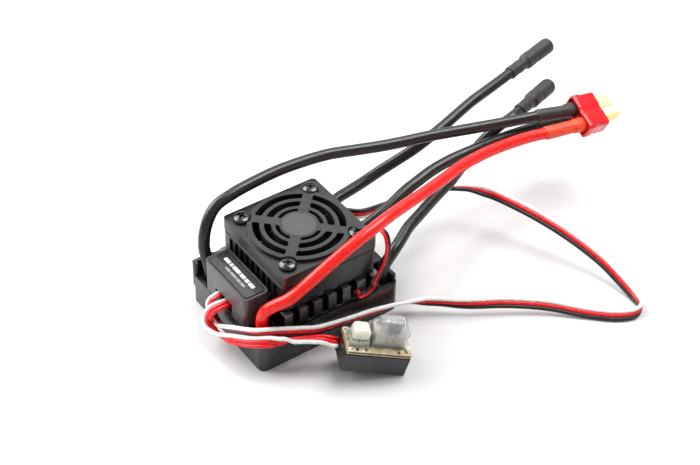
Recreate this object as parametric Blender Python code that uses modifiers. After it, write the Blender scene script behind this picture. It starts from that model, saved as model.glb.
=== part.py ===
"""Waterproof brushless speed controller with a cooling fan, a lead set and a switch module.

Frame: metres, +Z up.  The origin is the middle of the case's underside.  +X runs from the
label and battery end towards the motor end, +Y from the red battery lead to the black one.
Every size below is in millimetres and is turned into metres where an object is made.
"""
import math

import bmesh
import bpy
from mathutils import Euler, Matrix, Vector

MM = 0.001
GAP = 0.3                       # clearance between neighbouring pieces

# ---- driving dimensions of the case ---------------------------------------------------
CASE_LENGTH = 48.5
CASE_WIDTH = 38.0
RIM_HEIGHT = 10.2
WALL = 1.2
CORNER_RADIUS = 2.2
HALF_LENGTH = CASE_LENGTH / 2
HALF_WIDTH = CASE_WIDTH / 2
INNER_X = HALF_LENGTH - WALL
INNER_Y = HALF_WIDTH - WALL

# wire pockets in the corners of the tray
POCKET_INNER_Y = 11.6
BATTERY_POCKET_X = -16.6
MOTOR_POCKET_X = 18.8
MIDDLE_POCKET_Y = 3.6
MOTOR_EXIT_X = 20.95
SEAL_TOP = 8.9

# label cover at the battery end
COVER_BACK_X = -16.0
COVER_HALF_WIDTH = 10.9
COVER_TOP = 21.8
SLOT_LOW_Y, SLOT_HIGH_Y = -3.6, 5.2
SLOT_BOTTOM, SLOT_TOP = 11.2, 14.8

# heat sink and what is under it
SINK_LOW_X, SINK_HIGH_X = -15.3, 17.6
SINK_HALF_WIDTH = 17.5
SINK_BOTTOM, SINK_BASE_TOP, SINK_TOP = 8.6, 10.8, 16.3
PIN_COUNT_X, PIN_COUNT_Y = 7, 8
PIN_GAP = 2.2

# fan, its shroud and its guard
FAN_X = 1.4
FAN_SIZE = 30.0
FAN_BOTTOM, FAN_TOP = 17.9, 27.9
FAN_BORE = 14.2
HUB_RADIUS = 6.6
BLADE_COUNT = 7
BLADE_PITCH = math.radians(48)
SHROUD_SIZE = 32.2
SHROUD_INSIDE = 30.6
SHROUD_BOTTOM, SHROUD_TOP = 16.6, 25.1
VENT_COUNT, VENT_PITCH, VENT_WIDTH = 9, 2.85, 1.5
GUARD_BOTTOM, GUARD_TOP = 25.4, 29.4
GUARD_PLATE = 1.2
RING_RADIUS, RING_TOP = 15.1, 30.3
GUARD_SLOTS = ((5.8, 6.9), (8.1, 10.2), (11.5, 13.6))
GUARD_SPOKE = 3.0
SCREW_SPACING = 24.0
SCREW_HEAD_RADIUS = 2.6

# leads
POWER_LEAD_RADIUS = 1.8
POWER_SLEEVE_RADIUS = 2.1
RIBBON_RADIUS = 1.0
FAN_LEAD_RADIUS = 0.7
LEAD_STEP = 5.0
RIBBON_STEP = 4.2
FAN_LEAD_STEP = 1.6

# battery plug: its axis, its wide direction and its sizes
PLUG_CENTRE = Vector((107.2, -4.0, 27.6))
PLUG_AXIS = Vector((0.991, -0.096, -0.096)).normalized()
PLUG_WIDE = Vector((-0.125, -0.917, -0.379)).normalized()
PLUG_WIDTH, PLUG_DEPTH, PLUG_THICKNESS = 13.0, 6.6, 6.4
PLUG_LEAD_OFFSET = 3.0
PLUG_RIM, PLUG_RIM_WALL = 1.8, 0.7
BLADE_LENGTH, BLADE_WIDTH, BLADE_THICKNESS = 6.2, 4.2, 1.1

# bullet connectors on the motor leads
BULLET_COLLAR_LENGTH, BULLET_COLLAR_RADIUS = 7.6, 2.2
BULLET_BODY_LENGTH, BULLET_BODY_RADIUS = 13.6, 2.7
BULLET_BORE_RADIUS, BULLET_BORE_DEPTH = 2.3, 9.0
SOCKET_RADIUS, SOCKET_BORE, SOCKET_LENGTH = 2.0, 1.55, 7.6

# switch module, in its own frame: x along it, z up through its board
MODULE_LENGTH, MODULE_WIDTH, MODULE_HEIGHT = 19.4, 10.0, 6.3
MODULE_WALL = 0.9
MODULE_YAW = math.radians(-25.5)
MODULE_TILT = math.radians(15.3)
MODULE_PLACE = Vector((2.57, -33.99, MODULE_LENGTH / 2 * math.sin(MODULE_TILT) + 0.02))
BOARD_TOP = 7.8
SLIDER_REST_X, SLIDER_WIDTH = 3.5, 3.2
BUTTON_X, BUTTON_Y = -6.0, -0.2

# ---- routes of the leads, each a hand-chosen list of points --------------------------
ROUTES = {
    "battery_lead_negative": (
        (-20.5, 14.7, 9.4), (-20.5, 14.7, 12.4), (-20.8, 15.2, 16.0), (-21.0, 16.4, 20.5),
        (-19.4, 17.4, 27.0),
        (-15.4, 18.8, 31.4), (-9.0, 19.4, 33.0), (-2.0, 20.0, 33.4), (7.5, 20.6, 33.4),
        (17.0, 20.6, 32.8), (25.5, 19.6, 32.4), (34.0, 17.6, 31.6), (42.0, 15.6, 30.9),
        (49.5, 14.0, 30.4), (58.0, 12.4, 29.9), (73.0, 8.2, 29.4), (88.0, 3.9, 29.1),
        (94.3, 2.2, 29.0)),
    "battery_lead_positive": (
        (-20.6, -14.2, 9.4), (-20.6, -14.1, 11.6), (-20.8, -13.9, 14.6), (-20.2, -14.3, 18.2),
        (-17.8, -16.4, 21.4), (-14.8, -18.5, 23.7), (-10.6, -19.3, 26.4), (-1.5, -19.5, 31.0),
        (7.0, -19.0, 34.0), (15.5, -17.8, 35.5), (25.0, -15.2, 35.0), (35.5, -12.5, 34.0),
        (46.0, -9.6, 33.0), (55.5, -6.8, 32.0), (70.6, -4.4, 30.3), (85.5, -4.2, 28.5),
        (91.8, -5.0, 27.8)),
    "motor_lead_rear": (
        (20.95, 14.6, 9.3), (20.95, 14.6, 12.0), (22.3, 14.9, 15.8), (25.9, 15.7, 17.4),
        (30.5, 16.5, 17.4), (36.5, 17.0, 18.0),
        (43.5, 16.8, 20.0), (55.0, 15.2, 24.4), (66.0, 16.6, 26.6), (82.0, 20.4, 28.6),
        (90.5, 22.2, 29.0), (101.0, 24.6, 29.4)),
    "motor_lead_middle": (
        (20.95, 0.0, 10.3), (20.95, 0.0, 14.2), (23.0, -0.5, 17.7), (29.0, -0.8, 20.2),
        (35.0, 0.0, 22.0), (41.0, 1.2, 23.6), (46.5, 2.0, 24.5), (52.0, 3.0, 25.0),
        (59.5, 3.4, 25.6), (69.0, 3.6, 25.4), (79.5, 4.0, 24.6), (88.5, 3.9, 23.9),
        (94.0, 3.6, 23.4)),
    "motor_lead_front": (
        (20.95, -14.6, 9.3), (20.95, -14.6, 12.0), (22.1, -14.7, 15.7), (24.9, -14.1, 17.9),
        (29.2, -12.1, 19.0),
        (34.0, -9.6, 20.0), (39.5, -7.2, 20.0), (49.0, -3.0, 19.8), (58.5, 0.8, 19.8),
        (68.0, 5.2, 20.4), (76.8, 8.1, 22.4), (83.2, 8.2, 25.6), (88.4, 8.1, 27.2),
        (93.0, 9.9, 26.6)),
    "receiver_lead": (
        (-23.3, 3.1, 13.0), (-24.8, 3.2, 12.8), (-26.7, 3.8, 11.4), (-27.2, 4.2, 9.0),
        (-27.0, 2.9, 6.7), (-26.8, -0.6, 5.9), (-26.7, -4.8, 8.2), (-26.1, -10.8, 12.0),
        (-23.7, -16.3, 13.9),
        (-18.2, -18.8, 13.0), (-12.4, -20.2, 11.3), (-7.4, -21.2, 9.8), (1.6, -21.3, 7.8),
        (8.8, -21.3, 6.6), (16.2, -21.3, 5.4), (24.0, -22.2, 4.6), (31.5, -26.2, 4.2),
        (39.5, -32.0, 3.6), (50.0, -38.6, 3.6), (60.0, -45.6, 2.7), (68.0, -53.3, 1.7),
        (75.0, -59.6, 1.3), (80.6, -62.2, 1.3), (84.2, -60.8, 1.3), (85.4, -56.5, 1.7),
        (85.7, -49.5, 3.0), (84.9, -42.5, 5.2), (82.0, -32.0, 8.2), (78.4, -22.5, 10.6),
        (74.4, -13.5, 12.3), (70.0, -4.6, 13.2), (65.0, 1.0, 13.6), (58.0, 4.6, 13.6),
        (50.0, 6.6, 13.8), (42.0, 7.0, 14.6), (34.0, 6.4, 15.8), (28.2, 6.6, 16.6),
        (24.0, 9.0, 17.4), (20.4, 13.2, 17.9), (19.2, 18.6, 15.2), (18.6, 22.6, 9.6),
        (16.4, 25.4, 4.4), (11.6, 26.6, 1.9), (6.0, 26.8, 1.3), (0.0, 26.6, 1.3)),
    "switch_lead": (
        (-23.3, -0.5, 13.0), (-25.0, -0.4, 13.0), (-27.6, 0.6, 12.0), (-29.1, 1.7, 9.4),
        (-29.5, 1.3, 6.9),
        (-29.2, -1.0, 5.2), (-28.6, -6.0, 6.2), (-27.4, -11.2, 8.8), (-25.6, -16.2, 11.2),
        (-22.8, -19.3, 12.2), (-19.2, -21.0, 11.9), (-15.2, -22.0, 10.8)),
    "fan_lead": (
        (18.6, -9.4, 26.6), (20.2, -12.2, 28.4), (20.5, -15.8, 28.8), (20.0, -18.0, 26.2),
        (18.9, -18.6, 21.0), (16.6, -18.7, 16.8), (14.1, -18.7, 13.2), (11.4, -18.7, 11.9),
        (9.2, -18.6, 12.8), (8.9, -18.2, 14.3)),
}
SWITCH_LEAD_END = ((-14.2, 3.2, 3.6), (-11.4, 3.0, 3.2), (-10.05, 3.0, 3.2))  # module frame

# ---- materials: colour, roughness, metallic ------------------------------------------
MATERIALS = {
    "case_plastic": ((0.025, 0.026, 0.028), 0.38, 0.0),
    "anodised_black": ((0.02, 0.02, 0.022), 0.45, 0.8),
    "fan_plastic": ((0.018, 0.018, 0.02), 0.35, 0.0),
    "black_silicone": ((0.02, 0.021, 0.02), 0.42, 0.0),
    "red_silicone": ((0.75, 0.02, 0.012), 0.32, 0.0),
    "black_sleeve": ((0.035, 0.036, 0.032), 0.6, 0.0),
    "red_sleeve": ((0.85, 0.11, 0.03), 0.5, 0.0),
    "plug_red": ((0.72, 0.015, 0.02), 0.35, 0.0),
    "gold": ((0.9, 0.7, 0.28), 0.25, 1.0),
    "bright_metal": ((0.6, 0.58, 0.55), 0.3, 1.0),
    "board": ((0.5, 0.38, 0.18), 0.5, 0.0),
    "dark_part": ((0.03, 0.03, 0.03), 0.5, 0.0),
    "ribbon_white": ((0.85, 0.84, 0.82), 0.4, 0.0),
    "clear_silicone": ((0.78, 0.78, 0.76), 0.35, 0.0),
    "cream_silicone": ((0.82, 0.78, 0.64), 0.4, 0.0),
    "label": ((0.05, 0.05, 0.055), 0.35, 0.0),
    "rubber": ((0.015, 0.015, 0.015), 0.7, 0.0),
    "thermal_grey": ((0.4, 0.42, 0.45), 0.8, 0.0),
    "screw_metal": ((0.12, 0.12, 0.12), 0.3, 1.0),
}


def clear_scene():
    """Remove every object that is already in the file."""
    for old in list(bpy.data.objects):
        bpy.data.objects.remove(old, do_unlink=True)


def new_collection(name):
    collection = bpy.data.collections.new(name)
    bpy.context.scene.collection.children.link(collection)
    return collection


def material(slot):
    """The Principled material of a slot, made on first use."""
    made = bpy.data.materials.get(slot)
    if made is None:
        colour, roughness, metallic = MATERIALS[slot]
        made = bpy.data.materials.new(slot)
        made.use_nodes = True
        shader = made.node_tree.nodes["Principled BSDF"]
        shader.inputs["Base Color"].default_value = (*colour, 1.0)
        shader.inputs["Roughness"].default_value = roughness
        shader.inputs["Metallic"].default_value = metallic
        made.diffuse_color = (*colour, 1.0)
    return made


def add_object(name, data, slot=None, parent=None):
    """Link a mesh or a curve; without a slot it is a cutter."""
    made = bpy.data.objects.new(name, data)
    if slot is None:
        CUTTERS.objects.link(made)
        made.hide_render = True
        made.display_type = "WIRE"
    else:
        PARTS.objects.link(made)
        data.materials.append(material(slot))
    made.parent = parent
    return made


def mesh_from(shape, name):
    """Turn a bmesh whose sizes are millimetres into a mesh in metres."""
    bmesh.ops.scale(shape, vec=(MM, MM, MM), verts=shape.verts)
    bmesh.ops.recalc_face_normals(shape, faces=shape.faces)
    mesh = bpy.data.meshes.new(name)
    shape.to_mesh(mesh)
    shape.free()
    return mesh


def block(name, low, high, slot=None, radius=0.0, parent=None, place=None):
    """A box from its lowest to its highest corner, its upright edges rounded."""
    size = Vector(high) - Vector(low)
    middle = (Vector(high) + Vector(low)) / 2
    shape = bmesh.new()
    bmesh.ops.create_cube(shape, size=1.0)
    bmesh.ops.scale(shape, vec=size, verts=shape.verts)
    if radius:
        upright = [edge for edge in shape.edges
                   if abs(edge.verts[0].co.z - edge.verts[1].co.z) > size.z / 2]
        bmesh.ops.bevel(shape, geom=upright, offset=radius, segments=4, profile=0.5,
                        affect="EDGES")
    bmesh.ops.translate(shape, vec=middle, verts=shape.verts)
    made = add_object(name, mesh_from(shape, name), slot, parent)
    if place is not None:
        made.location = Vector(place) * MM
    return made


def cylinder(name, radius, low_z, high_z, slot=None, centre=(0.0, 0.0), sides=32,
             parent=None):
    """An upright cylinder between two heights."""
    shape = bmesh.new()
    bmesh.ops.create_cone(shape, cap_ends=True, cap_tris=False, segments=sides,
                          radius1=radius, radius2=radius, depth=high_z - low_z)
    bmesh.ops.translate(shape, vec=(centre[0], centre[1], (low_z + high_z) / 2),
                        verts=shape.verts)
    return add_object(name, mesh_from(shape, name), slot, parent)


def turned(name, profile, slot=None, sides=20, parent=None):
    """A turned solid: radius and height pairs running down the outside, about Z."""
    mesh = bpy.data.meshes.new(name)
    points = [(radius * MM, 0.0, height * MM) for radius, height in profile]
    mesh.from_pydata(points, [(i, i + 1) for i in range(len(points) - 1)], [])
    made = add_object(name, mesh, slot, parent)
    screw = made.modifiers.new("turn", "SCREW")
    screw.axis = "Z"
    screw.steps = sides
    screw.render_steps = sides
    screw.use_merge_vertices = True
    screw.merge_threshold = 0.00001
    screw.use_smooth_shade = True
    return made


def ring_sector(name, inner, outer, low_z, high_z, start, sweep, steps):
    """A cutter in the shape of part of a flat ring."""
    shape = bmesh.new()
    corners = ((inner, low_z), (outer, low_z), (outer, high_z), (inner, high_z))
    profile = [shape.verts.new((math.cos(start) * radius, math.sin(start) * radius, height))
               for radius, height in corners]
    face = shape.faces.new(profile)
    bmesh.ops.spin(shape, geom=[face], cent=(0, 0, 0), axis=(0, 0, 1), angle=sweep,
                   steps=steps, use_duplicate=False)
    return add_object(name, mesh_from(shape, name))


def boolean(target, tool, operation="DIFFERENCE"):
    modifier = target.modifiers.new(operation.lower(), "BOOLEAN")
    modifier.operation = operation
    modifier.solver = "EXACT"
    modifier.object = tool
    return target


def cut_block(target, low, high, radius=0.0):
    return boolean(target, block(target.name + "_cut", low, high, radius=radius,
                                 parent=target.parent))


def soften(target, width, segments=2, angle=40):
    """Round the edges that are sharper than the angle."""
    bevel = target.modifiers.new("soften", "BEVEL")
    bevel.width = width * MM
    bevel.segments = segments
    bevel.limit_method = "ANGLE"
    bevel.angle_limit = math.radians(angle)
    return target


def smooth_points(route, step):
    """Points about a step apart on the smooth curve through a route."""
    knots = [Vector(point) for point in route]
    knots = [2 * knots[0] - knots[1], *knots, 2 * knots[-1] - knots[-2]]
    dense = []
    for first, second, third, fourth in zip(knots, knots[1:], knots[2:], knots[3:]):
        times = [0.0]
        for near, far in ((first, second), (second, third), (third, fourth)):
            times.append(times[-1] + (far - near).length ** 0.5)
        for part in range(16):
            t = times[1] + (times[2] - times[1]) * part / 16
            a1 = first.lerp(second, (t - times[0]) / (times[1] - times[0]))
            a2 = second.lerp(third, (t - times[1]) / (times[2] - times[1]))
            a3 = third.lerp(fourth, (t - times[2]) / (times[3] - times[2]))
            b1 = a1.lerp(a2, (t - times[0]) / (times[2] - times[0]))
            b2 = a2.lerp(a3, (t - times[1]) / (times[3] - times[1]))
            dense.append(b1.lerp(b2, (t - times[1]) / (times[2] - times[1])))
    dense.append(knots[-2])
    lengths = [0.0]
    for near, far in zip(dense, dense[1:]):
        lengths.append(lengths[-1] + (far - near).length)
    count = max(2, round(lengths[-1] / step))
    points = []
    place = 0
    for number in range(count + 1):
        want = lengths[-1] * number / count
        while place < len(dense) - 2 and lengths[place + 1] < want:
            place += 1
        span = lengths[place + 1] - lengths[place]
        points.append(dense[place].lerp(dense[place + 1], (want - lengths[place]) / span))
    return points


def tube(name, points, radius, slot, resolution=2):
    """A round tube with closed ends along a list of points."""
    curve = bpy.data.curves.new(name, "CURVE")
    curve.dimensions = "3D"
    curve.bevel_depth = radius * MM
    curve.bevel_resolution = resolution
    curve.resolution_u = 1
    curve.use_fill_caps = True
    spline = curve.splines.new("POLY")
    spline.points.add(len(points) - 1)
    for knot, point in zip(spline.points, points):
        knot.co = (*(Vector(point) * MM), 1.0)
    return add_object(name, curve, slot)


def frame_on(start, axis, side):
    """An empty whose Z is the axis and whose X is the side direction."""
    axis = axis.normalized()
    side = (side - axis * side.dot(axis)).normalized()
    other = axis.cross(side)
    holder = bpy.data.objects.new("frame", None)
    PARTS.objects.link(holder)
    turn = Matrix((side, other, axis)).transposed().to_4x4()
    holder.matrix_world = Matrix.Translation(start * MM) @ turn
    return holder


# ---- the case -------------------------------------------------------------------------
def build_base_tray():
    tray = block("base_tray", (-HALF_LENGTH, -HALF_WIDTH, 0),
                 (HALF_LENGTH, HALF_WIDTH, RIM_HEIGHT), "case_plastic", CORNER_RADIUS)
    collars = (((-HALF_LENGTH, 16.6, 6.0), (-16.4, HALF_WIDTH, 14.8), 1.1),
               ((22.0, -17.6, 6.0), (HALF_LENGTH, -11.4, 12.2), 0.8),
               ((22.0, 11.4, 6.0), (HALF_LENGTH, 17.6, 12.2), 0.8))
    for low, high, radius in collars:
        boolean(tray, block("collar", low, high, radius=radius), "UNION")
    hollow_top = 20.0
    hollows = [((-15.6, -INNER_Y), (17.9, INNER_Y)),
               ((-INNER_X, -10.6), (-15.0, 10.6)),
               ((MOTOR_POCKET_X, -MIDDLE_POCKET_Y), (INNER_X, MIDDLE_POCKET_Y))]
    for side in (-1, 1):
        near, far = sorted((side * POCKET_INNER_Y, side * INNER_Y))
        hollows.append(((-INNER_X, near), (BATTERY_POCKET_X, far)))
        hollows.append(((MOTOR_POCKET_X, near), (INNER_X, far)))
        near, far = sorted((side * (MIDDLE_POCKET_Y + 1.0), side * (POCKET_INNER_Y - 1.0)))
        hollows.append(((MOTOR_POCKET_X, near), (INNER_X, far)))
    for low, high in hollows:
        cut_block(tray, (*low, WALL), (*high, hollow_top))


def build_label_cover():
    cover = block("label_cover", (-HALF_LENGTH, -COVER_HALF_WIDTH, RIM_HEIGHT + GAP),
                  (COVER_BACK_X, COVER_HALF_WIDTH, COVER_TOP), "case_plastic", 1.4)
    cut_block(cover, (-INNER_X, -9.8, 5.0), (COVER_BACK_X - 1.0, 9.8, COVER_TOP - 1.6))
    cut_block(cover, (-HALF_LENGTH - 1, SLOT_LOW_Y, SLOT_BOTTOM),
              (-INNER_X + 0.5, SLOT_HIGH_Y, SLOT_TOP))
    cut_block(cover, (-HALF_LENGTH - 1, -2.9, 9.0), (-INNER_X + 0.5, -2.5, SLOT_BOTTOM + 1))
    cut_block(cover, (-23.6, -10.2, COVER_TOP - 0.5), (-16.6, 10.2, COVER_TOP + 1), 1.0)
    block("label_plate", (-23.3, -9.9, COVER_TOP - 0.2), (-16.9, 9.9, COVER_TOP + 0.15),
          "label", 0.8)
    block("cable_grommet", (-22.3, -9.4, 11.2), (-19.6, 9.4, COVER_TOP - 2.0), "rubber")


def build_motor_end_cover():
    cover = block("motor_end_cover", (17.95, -COVER_HALF_WIDTH, RIM_HEIGHT + GAP),
                  (HALF_LENGTH, COVER_HALF_WIDTH, 13.4), "case_plastic", 0.8)
    boolean(cover, cylinder("outlet", 2.2, 5, 20, centre=(MOTOR_EXIT_X, 0.0)))
    soften(cover, 0.4, 1, 60)


def build_heat_sink():
    sink = block("heat_sink", (SINK_LOW_X, -SINK_HALF_WIDTH, SINK_BOTTOM),
                 (SINK_HIGH_X, SINK_HALF_WIDTH, SINK_TOP), "anodised_black")
    length = SINK_HIGH_X - SINK_LOW_X
    pin_x = (length - PIN_GAP * (PIN_COUNT_X - 1)) / PIN_COUNT_X
    for number in range(1, PIN_COUNT_X):
        start = SINK_LOW_X + number * pin_x + (number - 1) * PIN_GAP
        cut_block(sink, (start, -30, SINK_BASE_TOP), (start + PIN_GAP, 30, 40))
    pin_y = (2 * SINK_HALF_WIDTH - PIN_GAP * (PIN_COUNT_Y - 1)) / PIN_COUNT_Y
    for number in range(1, PIN_COUNT_Y):
        start = -SINK_HALF_WIDTH + number * pin_y + (number - 1) * PIN_GAP
        cut_block(sink, (-40, start, SINK_BASE_TOP), (40, start + PIN_GAP, 40))


def build_electronics():
    block("control_board", (-14.9, -17.0, 1.6), (17.2, 17.0, 2.8), "board")
    block("board_connector", (-12.0, -15.5, 3.1), (14.0, -13.0, 4.3), "dark_part")
    block("power_board", (-14.9, -17.0, 4.6), (17.2, 17.0, 5.8), "board")
    for letter, middle in zip("abc", (-10.5, 0.0, 10.5)):
        block("transistor_bank_" + letter, (-12.5, middle - 2.6, 6.1),
              (15.5, middle + 2.6, 7.3), "dark_part")
    block("thermal_pad", (-13.5, -15.0, 7.6), (16.5, 15.0, 8.3), "thermal_grey")
    for number, side in enumerate((-1, 1)):
        holder = frame_on(Vector((-19.4, side * 0.35, 5.2)), Vector((0, side, 0)),
                          Vector((1, 0, 0)))
        cylinder("capacitor_" + str(number + 1), 3.1, 0, 9.6, "dark_part", sides=20,
                 parent=holder)


def build_seals():
    for side, battery, motor in ((1, "negative", "rear"), (-1, "positive", "front")):
        near, far = sorted((side * (POCKET_INNER_Y + GAP), side * (INNER_Y - GAP)))
        block("battery_seal_" + battery, (-INNER_X + GAP, near, WALL + GAP),
              (BATTERY_POCKET_X - GAP, far, SEAL_TOP), "rubber", 0.6)
        block("motor_seal_" + motor, (MOTOR_POCKET_X + GAP, near, WALL + GAP),
              (INNER_X - GAP, far, SEAL_TOP), "rubber", 0.6)
    block("motor_seal_middle", (MOTOR_POCKET_X + GAP, -MIDDLE_POCKET_Y + GAP, WALL + GAP),
          (INNER_X - GAP, MIDDLE_POCKET_Y - GAP, SEAL_TOP + 1.0), "rubber", 0.6)


# ---- the fan --------------------------------------------------------------------------
def square_block(name, size, low_z, high_z, slot, radius):
    half = size / 2
    return block(name, (FAN_X - half, -half, low_z), (FAN_X + half, half, high_z), slot,
                 radius)


def screw_places():
    half = SCREW_SPACING / 2
    return [(FAN_X + half * side_x, half * side_y)
            for side_x, side_y in ((-1, -1), (1, -1), (-1, 1), (1, 1))]


def build_shroud():
    shroud = square_block("fan_shroud", SHROUD_SIZE, SHROUD_BOTTOM, SHROUD_TOP,
                          "case_plastic", 1.6)
    floor = SHROUD_BOTTOM + 1.0
    half = SHROUD_INSIDE / 2
    cut_block(shroud, (FAN_X - half, -half, floor), (FAN_X + half, half, 40), 0.8)
    boolean(shroud, cylinder("throat", 14.0, 10, 30, centre=(FAN_X, 0.0), sides=48))
    for number in range(VENT_COUNT):
        start = (number - (VENT_COUNT - 1) / 2) * VENT_PITCH - VENT_WIDTH / 2
        cut_block(shroud, (-30, start, floor + 0.6), (30, start + VENT_WIDTH, SHROUD_TOP - 1.0))


def build_fan():
    frame = square_block("fan_frame", FAN_SIZE, FAN_BOTTOM, FAN_TOP, "fan_plastic", 1.2)
    boolean(frame, cylinder("bore", FAN_BORE, 10, 40, centre=(FAN_X, 0.0), sides=48))
    arm_top = FAN_BOTTOM + 1.0
    for angle in (math.radians(22), math.radians(112)):
        arm = block("arm", (-FAN_BORE - 0.3, -1.0, FAN_BOTTOM), (FAN_BORE + 0.3, 1.0, arm_top))
        arm.rotation_euler = (0, 0, angle)
        arm.location = (FAN_X * MM, 0, 0)
        boolean(frame, arm, "UNION")
    boolean(frame, cylinder("hub", 6.9, FAN_BOTTOM, arm_top, centre=(FAN_X, 0.0)), "UNION")
    boolean(frame, cylinder("bearing_hole", 1.1, 10, 40, centre=(FAN_X, 0.0), sides=16))
    for centre in screw_places():
        boolean(frame, cylinder("screw_hole", 1.5, 10, 40, centre=centre, sides=16))
    turned("fan_stator", ((5.2, 23.4), (5.2, 19.3), (1.4, 19.3), (1.4, 23.4), (5.2, 23.4)),
           "gold").location = (FAN_X * MM, 0, 0)


def build_fan_rotor():
    """The rotor turns about its own origin, which is on the fan's axis."""
    top, skirt, shaft_end = 27.0, 19.4, 18.2
    rotor = turned("fan_rotor", (
        (0.0, top), (HUB_RADIUS - 0.6, top), (HUB_RADIUS, top - 0.6), (HUB_RADIUS, skirt),
        (HUB_RADIUS - 0.9, skirt), (HUB_RADIUS - 0.9, top - 1.2), (0.75, top - 1.2),
        (0.75, shaft_end), (0.0, shaft_end)), "fan_plastic", 28)
    rotor.location = (FAN_X * MM, 0, 0)
    inner, outer, thickness, span = HUB_RADIUS - 0.4, 13.5, 0.9, 8.6
    for number in range(BLADE_COUNT):
        blade = block("blade", (inner, -span / 2, -thickness / 2),
                      (outer, span / 2, thickness / 2))
        turn = Matrix.Rotation(math.tau * number / BLADE_COUNT, 4, "Z")
        tip = Matrix.Rotation(BLADE_PITCH, 4, "X")
        lift = Matrix.Translation((FAN_X * MM, 0, 23.3 * MM))
        blade.matrix_world = lift @ turn @ tip
        boolean(rotor, blade, "UNION")


def build_guard():
    guard = square_block("fan_guard", SHROUD_SIZE, GUARD_BOTTOM, GUARD_TOP, "case_plastic",
                         1.0)
    half = SHROUD_INSIDE / 2
    cut_block(guard, (FAN_X - half, -half, 20), (FAN_X + half, half, GUARD_TOP - GUARD_PLATE),
              0.6)
    boolean(guard, cylinder("ring", RING_RADIUS, GUARD_TOP - 0.5, RING_TOP,
                            centre=(FAN_X, 0.0), sides=56), "UNION")
    for inner, outer in GUARD_SLOTS:
        middle = (inner + outer) / 2
        spoke_angle = GUARD_SPOKE / middle
        for quarter in range(4):
            start = math.radians(45) + quarter * math.pi / 2 + spoke_angle / 2
            sector = ring_sector("slot", inner, outer, 20, 40, start,
                                 math.pi / 2 - spoke_angle, 9)
            sector.location = (FAN_X * MM, 0, 0)
            boolean(guard, sector)
    for centre in screw_places():
        boolean(guard, cylinder("seat", SCREW_HEAD_RADIUS + 0.35, GUARD_TOP, 40,
                                centre=centre, sides=24))
        boolean(guard, cylinder("screw_hole", 1.5, 10, 40, centre=centre, sides=16))


def build_guard_screws():
    under = GUARD_TOP + GAP
    head = SCREW_HEAD_RADIUS
    for number, (x, y) in enumerate(screw_places()):
        screw = turned("guard_screw_" + str(number + 1), (
            (0.0, under + 1.2), (head * 0.55, under + 1.1), (head * 0.86, under + 0.75),
            (head, under + 0.2), (head, under), (1.15, under), (1.15, 19.5), (0.0, 18.8)),
            "screw_metal", 20)
        screw.location = (x * MM, y * MM, 0)
        for quarter in (0, 1):
            groove = block("cross", (-1.35, -0.24, under + 0.35), (1.35, 0.24, under + 3))
            groove.location = (x * MM, y * MM, 0)
            groove.rotation_euler = (0, 0, math.radians(25 + 90 * quarter + 31 * number))
            boolean(screw, groove)


# ---- leads and connectors ---------------------------------------------------------------
def build_battery_plug():
    holder = frame_on(PLUG_CENTRE, PLUG_AXIS, PLUG_WIDE)
    half_width, half_thick = PLUG_WIDTH / 2, PLUG_THICKNESS / 2
    housing = block("plug_housing", (-half_width, -half_thick, -PLUG_RIM),
                    (half_width, half_thick, PLUG_DEPTH), "plug_red", 1.2, holder)
    inside, inside_thick = half_width - PLUG_RIM_WALL, half_thick - PLUG_RIM_WALL
    cut_block(housing, (-inside, -inside_thick, -PLUG_RIM - 1), (inside, inside_thick, 0), 0.6)
    soften(housing, 0.35, 1, 50)
    root = PLUG_DEPTH + GAP
    half_blade, half_sheet = BLADE_WIDTH / 2, BLADE_THICKNESS / 2
    block("plug_blade_upright", (PLUG_LEAD_OFFSET - half_sheet, -half_blade, root),
          (PLUG_LEAD_OFFSET + half_sheet, half_blade, root + BLADE_LENGTH), "gold",
          parent=holder)
    block("plug_blade_flat", (-PLUG_LEAD_OFFSET - half_blade, -half_sheet, root),
          (-PLUG_LEAD_OFFSET + half_blade, half_sheet, root + BLADE_LENGTH), "gold",
          parent=holder)


def build_battery_leads():
    for name, side, slot, sleeve_slot in (
            ("negative", -1, "black_silicone", "black_sleeve"),
            ("positive", 1, "red_silicone", "red_sleeve")):
        points = smooth_points(ROUTES["battery_lead_" + name], LEAD_STEP)
        tube("battery_lead_" + name, points, POWER_LEAD_RADIUS, slot)
        start = points[-1] + (points[-1] - points[-2]).normalized() * 1.5 * GAP
        end = PLUG_CENTRE + PLUG_WIDE * side * PLUG_LEAD_OFFSET - PLUG_AXIS * GAP
        straight = end - PLUG_AXIS * 6.0
        sleeve = smooth_points((start, start.lerp(straight, 0.5), straight, end), 3.4)
        tube("battery_sleeve_" + name, sleeve, POWER_SLEEVE_RADIUS, sleeve_slot)


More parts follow.
